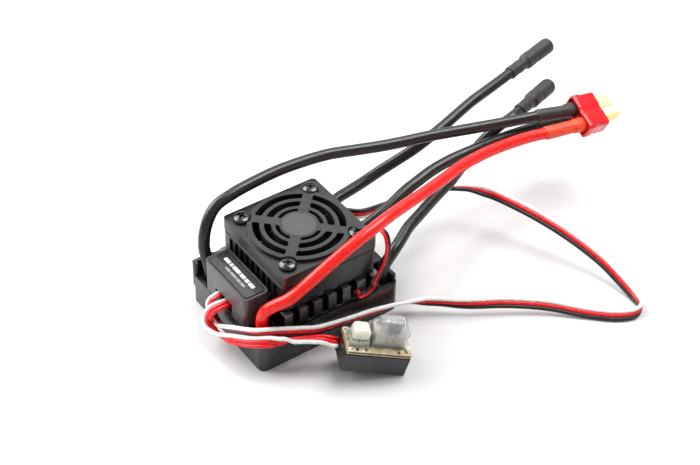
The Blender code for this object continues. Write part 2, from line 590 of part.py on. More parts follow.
def build_motor_leads():
    body_start = BULLET_COLLAR_LENGTH
    body_end = body_start + BULLET_BODY_LENGTH
    bore_start = body_end - BULLET_BORE_DEPTH
    for name in ("rear", "middle", "front"):
        points = smooth_points(ROUTES["motor_lead_" + name], LEAD_STEP)
        tube("motor_lead_" + name, points, POWER_LEAD_RADIUS, "black_silicone")
        heading = (points[-1] - points[-2]).normalized()
        holder = frame_on(points[-1] + heading * GAP, heading, Vector((0, 0, 1)))
        turned("bullet_sleeve_" + name, (
            (BULLET_BORE_RADIUS, bore_start), (BULLET_BORE_RADIUS, body_end),
            (BULLET_BODY_RADIUS - 0.3, body_end), (BULLET_BODY_RADIUS, body_end - 0.4),
            (BULLET_BODY_RADIUS, body_start + 0.8), (BULLET_COLLAR_RADIUS, body_start),
            (BULLET_COLLAR_RADIUS, 0.0), (0.0, 0.0), (0.0, bore_start),
            (BULLET_BORE_RADIUS, bore_start)), "black_sleeve", 16, holder)
        low = bore_start + GAP
        turned("bullet_socket_" + name, (
            (SOCKET_RADIUS, low + SOCKET_LENGTH), (SOCKET_RADIUS, low), (SOCKET_BORE, low),
            (SOCKET_BORE, low + SOCKET_LENGTH), (SOCKET_RADIUS, low + SOCKET_LENGTH)),
            "gold", 16, holder)


def build_signal_leads():
    for name, step, radius, slot in (("receiver_lead", RIBBON_STEP, RIBBON_RADIUS,
                                      "ribbon_white"),
                                     ("fan_lead", FAN_LEAD_STEP, FAN_LEAD_RADIUS,
                                      "red_silicone")):
        tube(name, smooth_points(ROUTES[name], step), radius, slot)
    frame = module_matrix()
    ending = [frame @ Vector(point) for point in SWITCH_LEAD_END]
    route = [*ROUTES["switch_lead"], *ending]
    tube("switch_lead", smooth_points(route, 2.4), RIBBON_RADIUS, "ribbon_white")
    plug = block("receiver_plug", (-14.4, 22.8, 0.02), (-0.3, 30.4, 2.6), "dark_part")
    soften(plug, 0.3, 1, 50)


# ---- switch module --------------------------------------------------------------------
def module_matrix():
    turn = Euler((0, MODULE_TILT, MODULE_YAW), "XYZ").to_matrix().to_4x4()
    return Matrix.Translation(MODULE_PLACE) @ turn


def build_switch_module():
    holder = bpy.data.objects.new("module_frame", None)
    PARTS.objects.link(holder)
    holder.location = MODULE_PLACE * MM
    holder.rotation_euler = (0, MODULE_TILT, MODULE_YAW)
    half_length, half_width = MODULE_LENGTH / 2, MODULE_WIDTH / 2
    inner_length, inner_width = half_length - MODULE_WALL, half_width - MODULE_WALL
    tray = block("switch_tray", (-half_length, -half_width, 0),
                 (half_length, half_width, MODULE_HEIGHT), "case_plastic", 0.5, holder)
    cut_block(tray, (-inner_length, -inner_width, MODULE_WALL),
              (inner_length, inner_width, 20))
    block("switch_potting", (-inner_length + GAP, -inner_width + GAP, MODULE_WALL + GAP),
          (inner_length - GAP, inner_width - GAP, MODULE_HEIGHT - 0.2), "dark_part",
          parent=holder)
    block("switch_board", (-half_length + 0.1, -half_width + 0.1, MODULE_HEIGHT + GAP),
          (half_length - 0.1, half_width - 0.1, BOARD_TOP), "board", parent=holder)
    block("status_led", (7.7, -3.6, BOARD_TOP + GAP), (9.2, -2.0, BOARD_TOP + 1.2),
          "clear_silicone", parent=holder)
    build_set_button(holder)
    build_slide_switch(holder)


def build_set_button(holder):
    base_top = BOARD_TOP + 2.2
    block("set_button_base", (BUTTON_X - 2.6, BUTTON_Y - 2.6, BOARD_TOP + GAP),
          (BUTTON_X + 2.6, BUTTON_Y + 2.6, base_top), "cream_silicone", 0.5, holder)
    cap = block("set_button_cap", (-2.3, -2.3, base_top + 0.6), (2.3, 2.3, base_top + 3.6),
                "cream_silicone", 1.2, holder, (BUTTON_X, BUTTON_Y, 0))
    soften(cap, 0.9, 2, 50)


def build_slide_switch(holder):
    case_top = 12.3
    case = block("switch_case", (-1.9, -2.0, BOARD_TOP + GAP), (6.9, 2.0, case_top),
                 "bright_metal", parent=holder)
    cut_block(case, (-0.6, -0.7, case_top - 1.5), (5.6, 0.7, case_top + 1))
    slider = block("switch_slider", (-SLIDER_WIDTH / 2, -1.3, case_top + GAP),
                   (SLIDER_WIDTH / 2, 1.3, 15.9), "dark_part", 0.0, holder,
                   (SLIDER_REST_X, 0, 0))
    soften(slider, 0.2, 1, 50)
    boot = block("switch_boot", (-3.0, -2.7, case_top + GAP), (7.9, 2.7, 14.0),
                 "clear_silicone", 0.7, holder)
    knob = block("knob", (-1.3, -2.1, 13.6), (6.3, 2.1, 17.0), radius=0.9, parent=holder)
    boolean(boot, knob, "UNION")
    cut_block(boot, (-0.5, -1.6, 10.0), (5.5, 1.6, 16.2))


def build():
    build_base_tray()
    build_label_cover()
    build_motor_end_cover()
    build_heat_sink()
    build_electronics()
    build_seals()
    build_shroud()
    build_fan()
    build_fan_rotor()
    build_guard()
    build_guard_screws()
    build_battery_plug()
    build_battery_leads()
    build_motor_leads()
    build_signal_leads()
    build_switch_module()


clear_scene()
PARTS = new_collection("speed_controller")
CUTTERS = new_collection("cutters")
build()
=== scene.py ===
"""Looks of a fan-cooled electronic speed controller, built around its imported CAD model.

Sizes are millimetres times MM. The row frame has its origin under the case, +X towards
the motor leads and +Z up.
"""
from math import asin, copysign, cos, exp, pi, radians, sin, sqrt, tau

import bmesh
import bpy
from mathutils import Euler, Matrix, Vector


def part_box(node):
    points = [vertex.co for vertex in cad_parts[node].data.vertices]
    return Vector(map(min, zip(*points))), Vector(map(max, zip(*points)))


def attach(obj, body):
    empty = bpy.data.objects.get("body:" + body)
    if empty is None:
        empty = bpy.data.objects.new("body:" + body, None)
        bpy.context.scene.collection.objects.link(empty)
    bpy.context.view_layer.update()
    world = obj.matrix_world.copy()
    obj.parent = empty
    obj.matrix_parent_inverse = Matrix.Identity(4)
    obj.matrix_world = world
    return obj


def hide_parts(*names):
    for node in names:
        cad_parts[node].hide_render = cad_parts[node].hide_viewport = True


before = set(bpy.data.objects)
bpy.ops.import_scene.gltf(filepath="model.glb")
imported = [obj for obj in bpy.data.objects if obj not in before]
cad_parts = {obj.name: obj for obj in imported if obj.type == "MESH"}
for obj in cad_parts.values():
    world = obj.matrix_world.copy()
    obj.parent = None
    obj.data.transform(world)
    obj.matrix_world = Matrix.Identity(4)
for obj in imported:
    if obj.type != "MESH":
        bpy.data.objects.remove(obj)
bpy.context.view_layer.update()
SCENE = bpy.context.scene

MM = 0.001
ROOT = "controller"
QUADRANTS = ((1, 1), (-1, 1), (-1, -1), (1, -1))

# ---- camera ----
CAMERA_TARGET = Vector((21.765, 2.835, 15.0))
CAMERA_AZIMUTH = radians(-36.787)
CAMERA_ELEVATION = radians(41.383)
CAMERA_ROLL = radians(1.877)
CAMERA_DISTANCE = 447.265
CAMERA_LENS = 76.34

# ---- studio, in metres ----
WORLD_LIGHT = 0.5
FLOOR_TONES = ((0.6, 0.6, 0.6), (0.63, 0.63, 0.625))
FLOOR_HALF, FLOOR_DROP = 4.0, 0.00005
SOFT_LIGHTS = (  # name, place, target, size and power
    ("key_light", (-0.36, 0.74, 0.6), (0.0, 0.0, 0.0), (0.95, 0.95), 22.0),
    ("back_light", (0.62, 0.85, 0.85), (0.02, 0.0, 0.01), (1.3, 1.0), 4.6),
    ("top_light", (0.46, -0.02, 0.9), (0.02, 0.0, 0.0), (0.55, 0.55), 9.0),
)

# ---- leads ----
POWER_LEAD_RADIUS = 1.8
STRAND = (0.62, 1.16)  # each wire's radius, and the step from one to the next
FAN_WIRE = (0.5, 0.96)
GAP = 0.3  # CAD clearance between neighbours
FLOOR_GAP = 0.02
LEAD_STEP = 1.6
CURVE_PARTS = 16

# battery plug: its wire side's centre, its axis and its wide direction
PLUG_CENTRE = Vector((107.2, -4.0, 27.6))
PLUG_AXIS = Vector((0.991, -0.096, -0.096)).normalized()
PLUG_WIDE = Vector((-0.125, -0.917, -0.379)).normalized()
PLUG_WIDTH, PLUG_DEPTH, PLUG_THICKNESS = 13.0, 6.6, 6.4
PLUG_LEAD_OFFSET = 3.0
PLUG_RIM = 1.8
PLUG_CORNER = 1.0
WAIST_DEPTH, WAIST_SPREAD = 0.42, 1.1

# bullet connectors
COLLAR_LENGTH, COLLAR_RADIUS = 7.6, 2.2
BULLET_END = 21.2
BULLET_RADIUS = 2.7
BULLET_BORE, BULLET_BORE_START = 2.3, 12.2

# switch module: its own frame has x along it and z up through its board
MODULE_YAW = radians(-25.5)
MODULE_TILT = radians(15.3)
MODULE_LENGTH, MODULE_HEIGHT = 19.4, 6.3
MODULE_PLACE = Vector((2.57, -33.99, MODULE_LENGTH / 2 * sin(MODULE_TILT) + FLOOR_GAP))
BOARD_TOP = 7.8
SHEET = 0.34
BUTTON_CENTRE = (-6.0, -0.2)
BOOT_WALL = 0.38

# fan shroud and fan guard
SHROUD_CORNER, SHROUD_WALL, SHROUD_FLOOR = 1.7, 0.8, 1.0
THROAT_RADIUS = 14.0
VENT_COUNT, VENT_PITCH, VENT_WIDTH = 9, 2.85, 1.5
GUARD_CORNER, GUARD_PLATE, GUARD_RISE = 1.3, 1.2, 0.9
DISC_RADIUS, HUB_RADIUS = 15.1, 5.0
SLOT_ROWS = ((5.8, 6.95), (8.1, 10.2), (11.5, 13.6))
SPOKE_WIDTH, SLOT_CORNER = 3.0, 0.5
SCREW_REACH, SEAT_RADIUS, HOLE_RADIUS = 12.0, 2.95, 1.5
SCREW_RADIUS, SCREW_DOME = 2.55, 0.85
BEYOND = 5.0  # how far a cutter passes its target

ROUTES = {
    "battery_lead_negative": (
        (-20.5, 14.7, 9.4), (-20.5, 14.7, 12.4), (-20.8, 15.2, 16.0), (-21.0, 16.4, 20.5),
        (-19.4, 17.4, 27.0), (-15.4, 18.8, 31.4), (-9.0, 19.4, 33.0), (-2.0, 20.0, 33.4),
        (7.5, 20.6, 33.4), (17.0, 20.6, 32.8), (25.5, 19.6, 32.4), (34.0, 17.6, 31.6),
        (42.0, 15.6, 30.9), (49.5, 14.0, 30.4), (58.0, 12.4, 29.9), (73.0, 8.2, 29.4),
        (88.0, 3.9, 29.1), (94.3, 2.2, 29.0)),
    "battery_lead_positive": (
        (-20.6, -14.2, 9.4), (-20.6, -14.1, 11.6), (-20.8, -13.9, 14.6), (-20.2, -14.3, 18.2),
        (-17.8, -16.4, 21.4), (-14.8, -18.5, 23.7), (-10.6, -19.3, 26.4), (-1.5, -19.5, 31.0),
        (7.0, -19.0, 34.0), (15.5, -17.8, 35.5), (25.0, -15.2, 35.0), (35.5, -12.5, 34.0),
        (46.0, -9.6, 33.0), (55.5, -6.8, 32.0), (70.6, -4.4, 30.3), (85.5, -4.2, 28.5),
        (91.8, -5.0, 27.8)),
    "motor_lead_rear": (
        (20.95, 14.6, 9.3), (20.95, 14.6, 12.0), (22.3, 14.9, 15.8), (25.9, 15.7, 17.4),
        (30.5, 16.5, 17.4), (36.5, 17.0, 18.0), (43.5, 16.8, 20.0), (55.0, 15.2, 24.4),
        (66.0, 16.6, 26.6), (82.0, 20.4, 28.6), (90.5, 22.2, 29.0), (101.0, 24.6, 29.4)),
    "motor_lead_middle": (
        (20.95, 0.0, 10.3), (20.95, 0.0, 14.2), (23.0, -0.5, 17.7), (29.0, -0.8, 20.2),
        (35.0, 0.0, 22.0), (41.0, 1.2, 23.6), (46.5, 2.0, 24.5), (52.0, 3.0, 25.0),
        (59.5, 3.4, 25.6), (69.0, 3.6, 25.4), (79.5, 4.0, 24.6), (88.5, 3.9, 23.9),
        (94.0, 3.6, 23.4)),
    "motor_lead_front": (
        (20.95, -14.6, 9.3), (20.95, -14.6, 12.0), (22.1, -14.7, 15.7), (24.9, -14.1, 17.9),
        (29.2, -12.1, 19.0), (34.0, -9.6, 20.0), (39.5, -7.2, 20.0), (49.0, -3.0, 19.8),
        (58.5, 0.8, 19.8), (68.0, 5.2, 20.4), (76.8, 8.1, 22.4), (83.2, 8.2, 25.6),
        (88.4, 8.1, 27.2), (93.0, 9.9, 26.6)),
    "receiver_lead": (
        (-23.3, 3.1, 13.0), (-24.8, 3.2, 12.8), (-26.7, 3.8, 11.4), (-27.2, 4.2, 9.0),
        (-27.0, 2.9, 6.7), (-26.8, -0.6, 5.9), (-26.7, -4.8, 8.2), (-26.1, -10.8, 12.0),
        (-23.7, -16.3, 13.9), (-18.2, -18.8, 13.0), (-12.4, -20.2, 11.3), (-7.4, -21.2, 9.8),
        (1.6, -21.3, 7.8), (8.8, -21.3, 6.6), (16.2, -21.3, 5.4), (24.0, -22.2, 4.6),
        (31.5, -26.2, 4.2), (39.5, -32.0, 3.6), (50.0, -38.6, 3.6), (60.0, -45.6, 2.7),
        (68.0, -53.3, 1.7), (75.0, -59.6, 1.3), (80.6, -62.2, 1.3), (84.2, -60.8, 1.3),
        (85.4, -56.5, 1.7), (85.7, -49.5, 3.0), (84.9, -42.5, 5.2), (82.0, -32.0, 8.2),
        (78.4, -22.5, 10.6), (74.4, -13.5, 12.3), (70.0, -4.6, 13.2), (65.0, 1.0, 13.6),
        (58.0, 4.6, 13.6), (50.0, 6.6, 13.8), (42.0, 7.0, 14.6), (34.0, 6.4, 15.8),
        (28.2, 6.6, 16.6), (24.0, 9.0, 17.4), (20.4, 13.2, 17.9), (19.2, 18.6, 15.2),
        (18.6, 22.6, 9.6), (16.4, 25.4, 4.4), (11.6, 26.6, 1.9), (6.0, 26.8, 1.3),
        (0.0, 26.6, 1.3)),
    "switch_lead": (
        (-23.3, -0.5, 13.0), (-25.0, -0.4, 13.0), (-27.6, 0.6, 12.0), (-29.1, 1.7, 9.4),
        (-29.5, 1.3, 6.9), (-29.2, -1.0, 5.2), (-28.6, -6.0, 6.2), (-27.4, -11.2, 8.8),
        (-25.6, -16.2, 11.2), (-22.8, -19.3, 12.2), (-19.2, -21.0, 11.9), (-15.2, -22.0, 10.8)),
    "fan_lead": (
        (18.6, -9.4, 26.6), (20.2, -12.2, 28.4), (20.5, -15.8, 28.8), (20.0, -18.0, 26.2),
        (18.9, -18.6, 21.0), (16.6, -18.7, 16.8), (14.1, -18.7, 13.2), (11.4, -18.7, 11.9),
        (9.2, -18.6, 12.8), (8.9, -18.2, 14.3)),
}
SWITCH_LEAD_END = ((-14.2, 3.2, 3.6), (-11.4, 3.0, 3.2), (-10.05, 3.0, 3.2))  # module frame

# which way a flat lead's last strand lies from its first, by route point number
RIBBON_WAYS = {
    "receiver_lead": (  # from black to white
        (0, (0.0, 1.0, 0.2)), (3, (0.1, 1.0, 0.1)), (5, (-0.8, 0.1, 0.5)),
        (7, (-0.5, -0.2, 0.8)), (9, (0.2, 0.2, 1.0)), (13, (-0.1, -0.2, 1.0)),
        (15, (-0.35, -0.6, 0.6)), (16, (-0.2, 0.1, 0.9)), (18, (0.35, 0.5, 0.8)),
        (21, (0.35, 0.45, 0.75)), (23, (0.2, 0.1, 1.0)), (25, (0.6, 0.1, 0.8)),
        (28, (0.62, 0.25, 0.64)), (30, (0.8, 0.5, 0.4)), (31, (0.7, 0.7, -0.3)),
        (32, (0.4, 0.6, -0.7)), (34, (0.1, 0.2, -1.0)), (37, (-0.1, -0.3, -1.0)),
        (40, (-1.0, 0.0, 0.1)), (44, (0.0, -1.0, 0.1))),
    "switch_lead": (  # from red to white
        (0, (0.0, 1.0, 0.0)), (3, (-0.1, 1.0, 0.0)), (4, (-0.8, 0.6, 0.1)),
        (5, (-0.8, 0.1, 0.5)), (7, (0.1, 0.3, 0.9)), (9, (0.4, 0.5, 0.75)),
        (10, (0.0, -0.2, 1.0)), (11, (-0.4, -0.6, 0.3)), (13, (-0.4, -0.7, -0.5)),
        (14, (-0.2, -1.0, -0.3))),
    "fan_lead": (  # from black to red
        (0, (-0.5, -0.5, 0.3)), (3, (-1.0, -0.2, -0.1)), (5, (-0.9, 0.0, -0.5)),
        (7, (0.0, -0.3, -1.0)), (9, (0.9, -0.4, 0.0))),
}


def plain_object(name, data):
    made = bpy.data.objects.new(name, data)
    SCENE.collection.objects.link(made)
    return made


def camera_axes():
    """The camera's right, up and backward directions in the row frame."""
    level = cos(CAMERA_ELEVATION)
    back = Vector((sin(CAMERA_AZIMUTH) * level, -cos(CAMERA_AZIMUTH) * level,
                   sin(CAMERA_ELEVATION)))
    right = (-back).cross(Vector((0, 0, 1))).normalized()
    up = right.cross(-back)
    cos_roll, sin_roll = cos(CAMERA_ROLL), sin(CAMERA_ROLL)
    return cos_roll * right + sin_roll * up, cos_roll * up - sin_roll * right, back


def make_camera():
    data = bpy.data.cameras.new("camera")
    data.lens = CAMERA_LENS
    data.clip_start = 0.01
    data.clip_end = 20.0
    camera = plain_object("camera", data)
    right, up, back = camera_axes()
    place = (CAMERA_TARGET + back * CAMERA_DISTANCE) * MM
    camera.matrix_world = Matrix.Translation(place) @ Matrix(
        (right, up, back)).transposed().to_4x4()
    SCENE.camera = camera


# ---- materials ----
class Shader:
    """A Principled material with its node tree and a few shorthands."""

    def __init__(self, name):
        self.material = bpy.data.materials.new(name)
        self.material.use_nodes = True
        self.tree = self.material.node_tree
        self.main = self.tree.nodes["Principled BSDF"]
        self.place = self.tree.nodes.new("ShaderNodeTexCoord").outputs["Object"]

    def add(self, kind, **settings):
        node = self.tree.nodes.new(kind)
        for key, value in settings.items():
            setattr(node, key, value)
        return node

    def link(self, output, socket):
        self.tree.links.new(output, socket)

    def put(self, **values):
        """Fixed values on the shader's own sockets; names have _ for spaces."""
        for key, value in values.items():
            self.main.inputs[key.replace("_", " ")].default_value = value

    def noise(self, size, detail=2.0, roughness=0.5, stretch=None):
        """Noise with features about size millimetres across."""
        node = self.add("ShaderNodeTexNoise")
        node.inputs["Scale"].default_value = 1.0 / (size * MM)
        node.inputs["Detail"].default_value = detail
        node.inputs["Roughness"].default_value = roughness
        place = self.place
        if stretch is not None:
            mapping = self.add("ShaderNodeMapping")
            mapping.inputs["Scale"].default_value = stretch
            self.link(place, mapping.inputs["Vector"])
            place = mapping.outputs["Vector"]
        self.link(place, node.inputs["Vector"])
        return node.outputs["Fac"]

    def span(self, value, low, high, from_low=0.3, from_high=0.7):
        node = self.add("ShaderNodeMapRange")
        for key, number in (("From Min", from_low), ("From Max", from_high),
                            ("To Min", low), ("To Max", high)):
            node.inputs[key].default_value = number
        self.link(value, node.inputs["Value"])
        return node.outputs["Result"]

    def mix(self, factor, first, second):
        """Two colours, each a tuple or an output, mixed by a factor's output."""
        node = self.add("ShaderNodeMix", data_type="RGBA")
        self.link(factor, node.inputs["Factor"])
        for key, colour in (("A", first), ("B", second)):
            socket = [s for s in node.inputs if s.name == key and s.type == "RGBA"][0]
            if isinstance(colour, tuple):
                socket.default_value = (*colour, 1.0)
            else:
                self.link(colour, socket)
        return [s for s in node.outputs if s.type == "RGBA"][0]

    def maths(self, operation, first, second):
        node = self.add("ShaderNodeMath", operation=operation)
        for socket, value in zip(node.inputs, (first, second)):
            if isinstance(value, (int, float)):
                socket.default_value = value
            else:
                self.link(value, socket)
        return node.outputs[0]

    def edges(self, low=0.52, high=0.6):
        """1 on outer edges, 0 on flat faces."""
        sharp = self.add("ShaderNodeNewGeometry").outputs["Pointiness"]
        return self.span(sharp, 0.0, 1.0, low, high)

    def bump(self, height, depth, strength=1.0, after=None):
        node = self.add("ShaderNodeBump")
        node.inputs["Strength"].default_value = strength
        node.inputs["Distance"].default_value = depth * MM
        self.link(height, node.inputs["Height"])
        if after is not None:
            self.link(after, node.inputs["Normal"])
        self.link(node.outputs["Normal"], self.main.inputs["Normal"])
        return node.outputs["Normal"]

    def shades(self, noise, colour, dark, light):
        """A colour that varies with a noise between two multiples of it."""
        return self.mix(self.span(noise, 0.0, 1.0), scaled(colour, dark), scaled(colour, light))

    def finish(self, colour, roughness=None):
        self.link(colour, self.main.inputs["Base Color"])
        if roughness is not None:
            self.link(roughness, self.main.inputs["Roughness"])
        return self.material


def scaled(colour, factor):
    return tuple(min(1.0, part * factor) for part in colour)


def moulded(name, colour, roughness, grain=0.22, depth=0.006, wear=0.5, dust=0.06):
    """Moulded plastic: a fine spark-eroded grain, cloudy gloss, rubbed edges, a little dust."""
    made = Shader(name)
    made.put(IOR=1.5)
    cloud = made.noise(7.0, 4.0)
    fine = made.noise(grain, 3.0, 0.6)
    specks = made.span(made.noise(0.35, 1.0), 0.0, dust, 0.7, 0.78)
    base = made.shades(cloud, colour, 0.82, 1.2)
    worn = made.maths("MULTIPLY", made.edges(), made.span(made.noise(1.6, 5.0), 0.0, wear))
    base = made.mix(worn, base, scaled(colour, 4.0))
    base = made.mix(specks, base, (0.45, 0.44, 0.42))
    gloss = made.span(cloud, roughness - 0.05, roughness + 0.07)
    gloss = made.maths("ADD", gloss, made.span(fine, -0.04, 0.04))
    first = made.bump(fine, depth)
    made.bump(made.noise(4.5, 2.0), 0.03, 0.6, first)
    return made.finish(base, gloss)


def jacket(name, colour, roughness, marks=0.005, light=None):
    """A wire's silicone or vinyl jacket: smooth, slightly uneven, with handling marks."""
    made = Shader(name)
    made.put(IOR=1.45)
    streak = made.noise(1.3, 3.0)
    fine = made.noise(0.16, 2.0)
    base = made.mix(made.span(streak, 0.0, 1.0), scaled(colour, 0.86),
                    light or scaled(colour, 1.35))
    gloss = made.span(made.noise(2.6, 4.0), roughness - 0.07, roughness + 0.09)
    made.bump(made.noise(3.0, 2.0), marks, 0.7, made.bump(fine, 0.0012))
    return made.finish(base, gloss)


def metal(name, colour, roughness, grain, dark=0.55):
    """Plated or anodised metal: fine brushing, cloudy tone, brighter edges."""
    made = Shader(name)
    made.put(Metallic=1.0)
    brushed = made.noise(grain, 4.0, 0.65)
    cloud = made.noise(1.8, 4.0)
    base = made.mix(made.span(cloud, 0.0, 1.0), scaled(colour, dark), colour)
    base = made.mix(made.edges(0.53, 0.62), base, scaled(colour, 1.5))
    gloss = made.span(brushed, roughness - 0.08, roughness + 0.12)
    made.bump(brushed, 0.004)
    return made.finish(base, gloss)


def shrink(name, colour, roughness):
    """Heat-shrink sleeve: matte, with fine rings and lighter ridges."""
    made = Shader(name)
    made.put(IOR=1.45)
    streak = made.noise(0.9, 5.0, 0.6)
    fine = made.noise(0.14, 3.0)
    base = made.shades(streak, colour, 0.75, 1.3)
    base = made.mix(made.maths("MULTIPLY", made.edges(0.51, 0.56), 0.5), base,
                    scaled(colour, 2.4))
    gloss = made.span(streak, roughness - 0.08, roughness + 0.08)
    made.bump(made.noise(0.6, 3.0), 0.03, 0.8, made.bump(fine, 0.008))
    return made.finish(base, gloss)


def translucent(name, colour, roughness, through, scatter):
    """Cloudy silicone that lets some light through."""
    made = Shader(name)
    made.put(IOR=1.41, Transmission_Weight=through, Subsurface_Weight=scatter,
             Subsurface_Radius=(1.0, 0.95, 0.85), Subsurface_Scale=1.6 * MM)
    cloud = made.noise(1.4, 3.0)
    base = made.shades(cloud, colour, 0.93, 1.05)
    gloss = made.span(made.noise(0.9, 3.0), roughness - 0.08, roughness + 0.1)
    made.bump(made.noise(1.6, 2.0), 0.02, 0.5)
    return made.finish(base, gloss)


def laminate(name):
    """The switch board: lacquered tan glass-epoxy; the dark line along its edge is painted
    shade.
    """
    made = Shader(name)
    weave = made.noise(0.3, 2.0, 0.5, (1.0, 1.0, 6.0))
    patch = made.noise(1.9, 3.0)
    base = made.mix(made.span(weave, 0.0, 1.0), (0.34, 0.25, 0.11), (0.66, 0.55, 0.33))
    base = made.mix(made.span(patch, 0.0, 0.7, 0.5, 0.62), base, (0.72, 0.68, 0.52))
    gloss = made.span(patch, 0.22, 0.4)
    made.bump(weave, 0.03)
    return made.finish(base, gloss)


def label_film(name):
    """The label: glossy black film with a grey band across its lower side."""
    low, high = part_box("label_plate")
    made = Shader(name)
    split = made.add("ShaderNodeSeparateXYZ")
    made.link(made.place, split.inputs["Vector"])
    slant = made.maths("ADD", split.outputs["X"],
                       made.maths("MULTIPLY", split.outputs["Y"], 0.05))
    across = made.span(slant, 0.0, 1.0, low.x + 0.43 * (high.x - low.x),
                       low.x + 0.45 * (high.x - low.x))
    grain = made.noise(0.3, 3.0)
    base = made.mix(across, (0.03, 0.03, 0.028), (0.004, 0.004, 0.0045))
    base = made.mix(made.span(grain, 0.0, 0.03), base, (0.4, 0.4, 0.4))
    gloss = made.span(grain, 0.2, 0.3)
    made.bump(made.noise(2.2, 2.0), 0.02, 0.5)
    return made.finish(base, gloss)


def make_materials():
    table = {
        "case": (moulded, (0.008, 0.008, 0.0085), 0.27),
        "cover": (moulded, (0.036, 0.036, 0.037), 0.3),
        "tray": (moulded, (0.015, 0.015, 0.016), 0.27),
        "guard": (moulded, (0.010, 0.010, 0.010), 0.28, 0.26, 0.008),
        "hub": (moulded, (0.042, 0.043, 0.042), 0.5, 0.3, 0.02, 0.1),
        "fan": (moulded, (0.008, 0.008, 0.009), 0.26, 0.3, 0.003),
        "sink": (metal, (0.13, 0.13, 0.133), 0.36, 0.2),
        "rubber": (moulded, (0.008, 0.008, 0.008), 0.6, 0.3, 0.012, 0.1),
        "module": (moulded, (0.018, 0.019, 0.021), 0.3, 0.3, 0.004),
        "black_wire": (jacket, (0.010, 0.0105, 0.0095), 0.26),
        "red_wire": (jacket, (0.86, 0.006, 0.004), 0.22, 0.004, (0.93, 0.012, 0.006)),
        "white_strand": (jacket, (0.88, 0.87, 0.85), 0.3, 0.003, (0.93, 0.92, 0.91)),
        "red_strand": (jacket, (0.7, 0.003, 0.007), 0.27, 0.003),
        "black_strand": (jacket, (0.008, 0.008, 0.008), 0.3, 0.003),
        "black_shrink": (shrink, (0.022, 0.021, 0.018), 0.5),
        "red_shrink": (shrink, (0.86, 0.05, 0.014), 0.4),
        "plug": (moulded, (0.72, 0.006, 0.012), 0.2, 0.4, 0.003, 0.1, 0.01),
        "gold": (metal, (0.86, 0.62, 0.24), 0.3, 0.3, 0.8),
        "nickel": (metal, (0.5, 0.48, 0.43), 0.32, 0.25, 0.75),
        "screw": (metal, (0.09, 0.09, 0.09), 0.2, 0.3, 0.6),
        "board": (laminate,),
        # painted shade: a dark sheet standing for the shaded gap in the board's edge
        "board_core": (moulded, (0.03, 0.02, 0.01), 0.5),
        "solder": (metal, (0.72, 0.71, 0.68), 0.25, 0.4, 0.8),
        "dark": (moulded, (0.016, 0.016, 0.017), 0.4),
        "potting": (moulded, (0.006, 0.006, 0.007), 0.2, 0.8, 0.02, 0.0),
        "slider": (moulded, (0.2, 0.2, 0.2), 0.4, 0.3, 0.002, 0.1),
        "boot": (translucent, (0.93, 0.94, 0.94), 0.16, 0.86, 0.0),
        "cream": (translucent, (0.88, 0.87, 0.74), 0.34, 0.25, 0.5),
        "button_base": (translucent, (0.78, 0.83, 0.7), 0.28, 0.6, 0.2),
        "thermal": (moulded, (0.32, 0.34, 0.37), 0.75, 0.5, 0.02, 0.0),
        "label": (label_film,),
        "print": (moulded, (0.7, 0.7, 0.68), 0.4, 0.3, 0.002, 0.0, 0.0),
        "grey_print": (moulded, (0.24, 0.24, 0.23), 0.4, 0.3, 0.002, 0.0, 0.0),
    }
    return {name: maker(name, *values) for name, (maker, *values) in table.items()}


# ---- shape helpers ----
def new_piece(name, shape, look, body=ROOT, replaces=()):
    """A visible piece of one look or several, made from a bmesh, mesh or curve."""
    data = to_mesh(shape, name) if isinstance(shape, bmesh.types.BMesh) else shape
    made = plain_object(name, data)
    for one in look if isinstance(look, tuple) else (look,):
        data.materials.append(LOOK[one])
    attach(made, body)
    if replaces:
        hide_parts(replaces)
    return made


def to_mesh(shape, name, normals=True):
    if normals:
        bmesh.ops.recalc_face_normals(shape, faces=shape.faces)
    mesh = bpy.data.meshes.new(name)
    shape.to_mesh(mesh)
    shape.free()
    mesh.shade_smooth()
    return mesh


def round_edges(piece, width, segments=3, angle=30):
    """Round the edges sharper than the angle and keep flat faces flat in shading."""
    bevel = piece.modifiers.new("round", "BEVEL")
    bevel.width = width * MM
    bevel.segments = segments
    bevel.limit_method = "ANGLE"
    bevel.angle_limit = radians(angle)
    bevel.harden_normals = True
    bevel.miter_outer = "MITER_ARC"
    weighted = piece.modifiers.new("flat", "WEIGHTED_NORMAL")
    weighted.keep_sharp = True
    weighted.weight = 100
    return piece


def refined(node, material, width=0.2, segments=3, angle=30, body=ROOT):
    """A CAD node's shape with its seams welded and its edges rounded, standing for it."""
    shape = bmesh.new()
    shape.from_mesh(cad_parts[node].data)
    bmesh.ops.remove_doubles(shape, verts=shape.verts, dist=0.002 * MM)
    bmesh.ops.dissolve_limit(shape, angle_limit=radians(0.8), verts=shape.verts,
                             edges=shape.edges)
    piece = new_piece(node + "_skin", to_mesh(shape, node + "_skin", False), material, body,
                      node)
    return round_edges(piece, width, segments, angle)


def between(first, second, low, high, t):
    return first.lerp(second, (t - low) / (high - low))


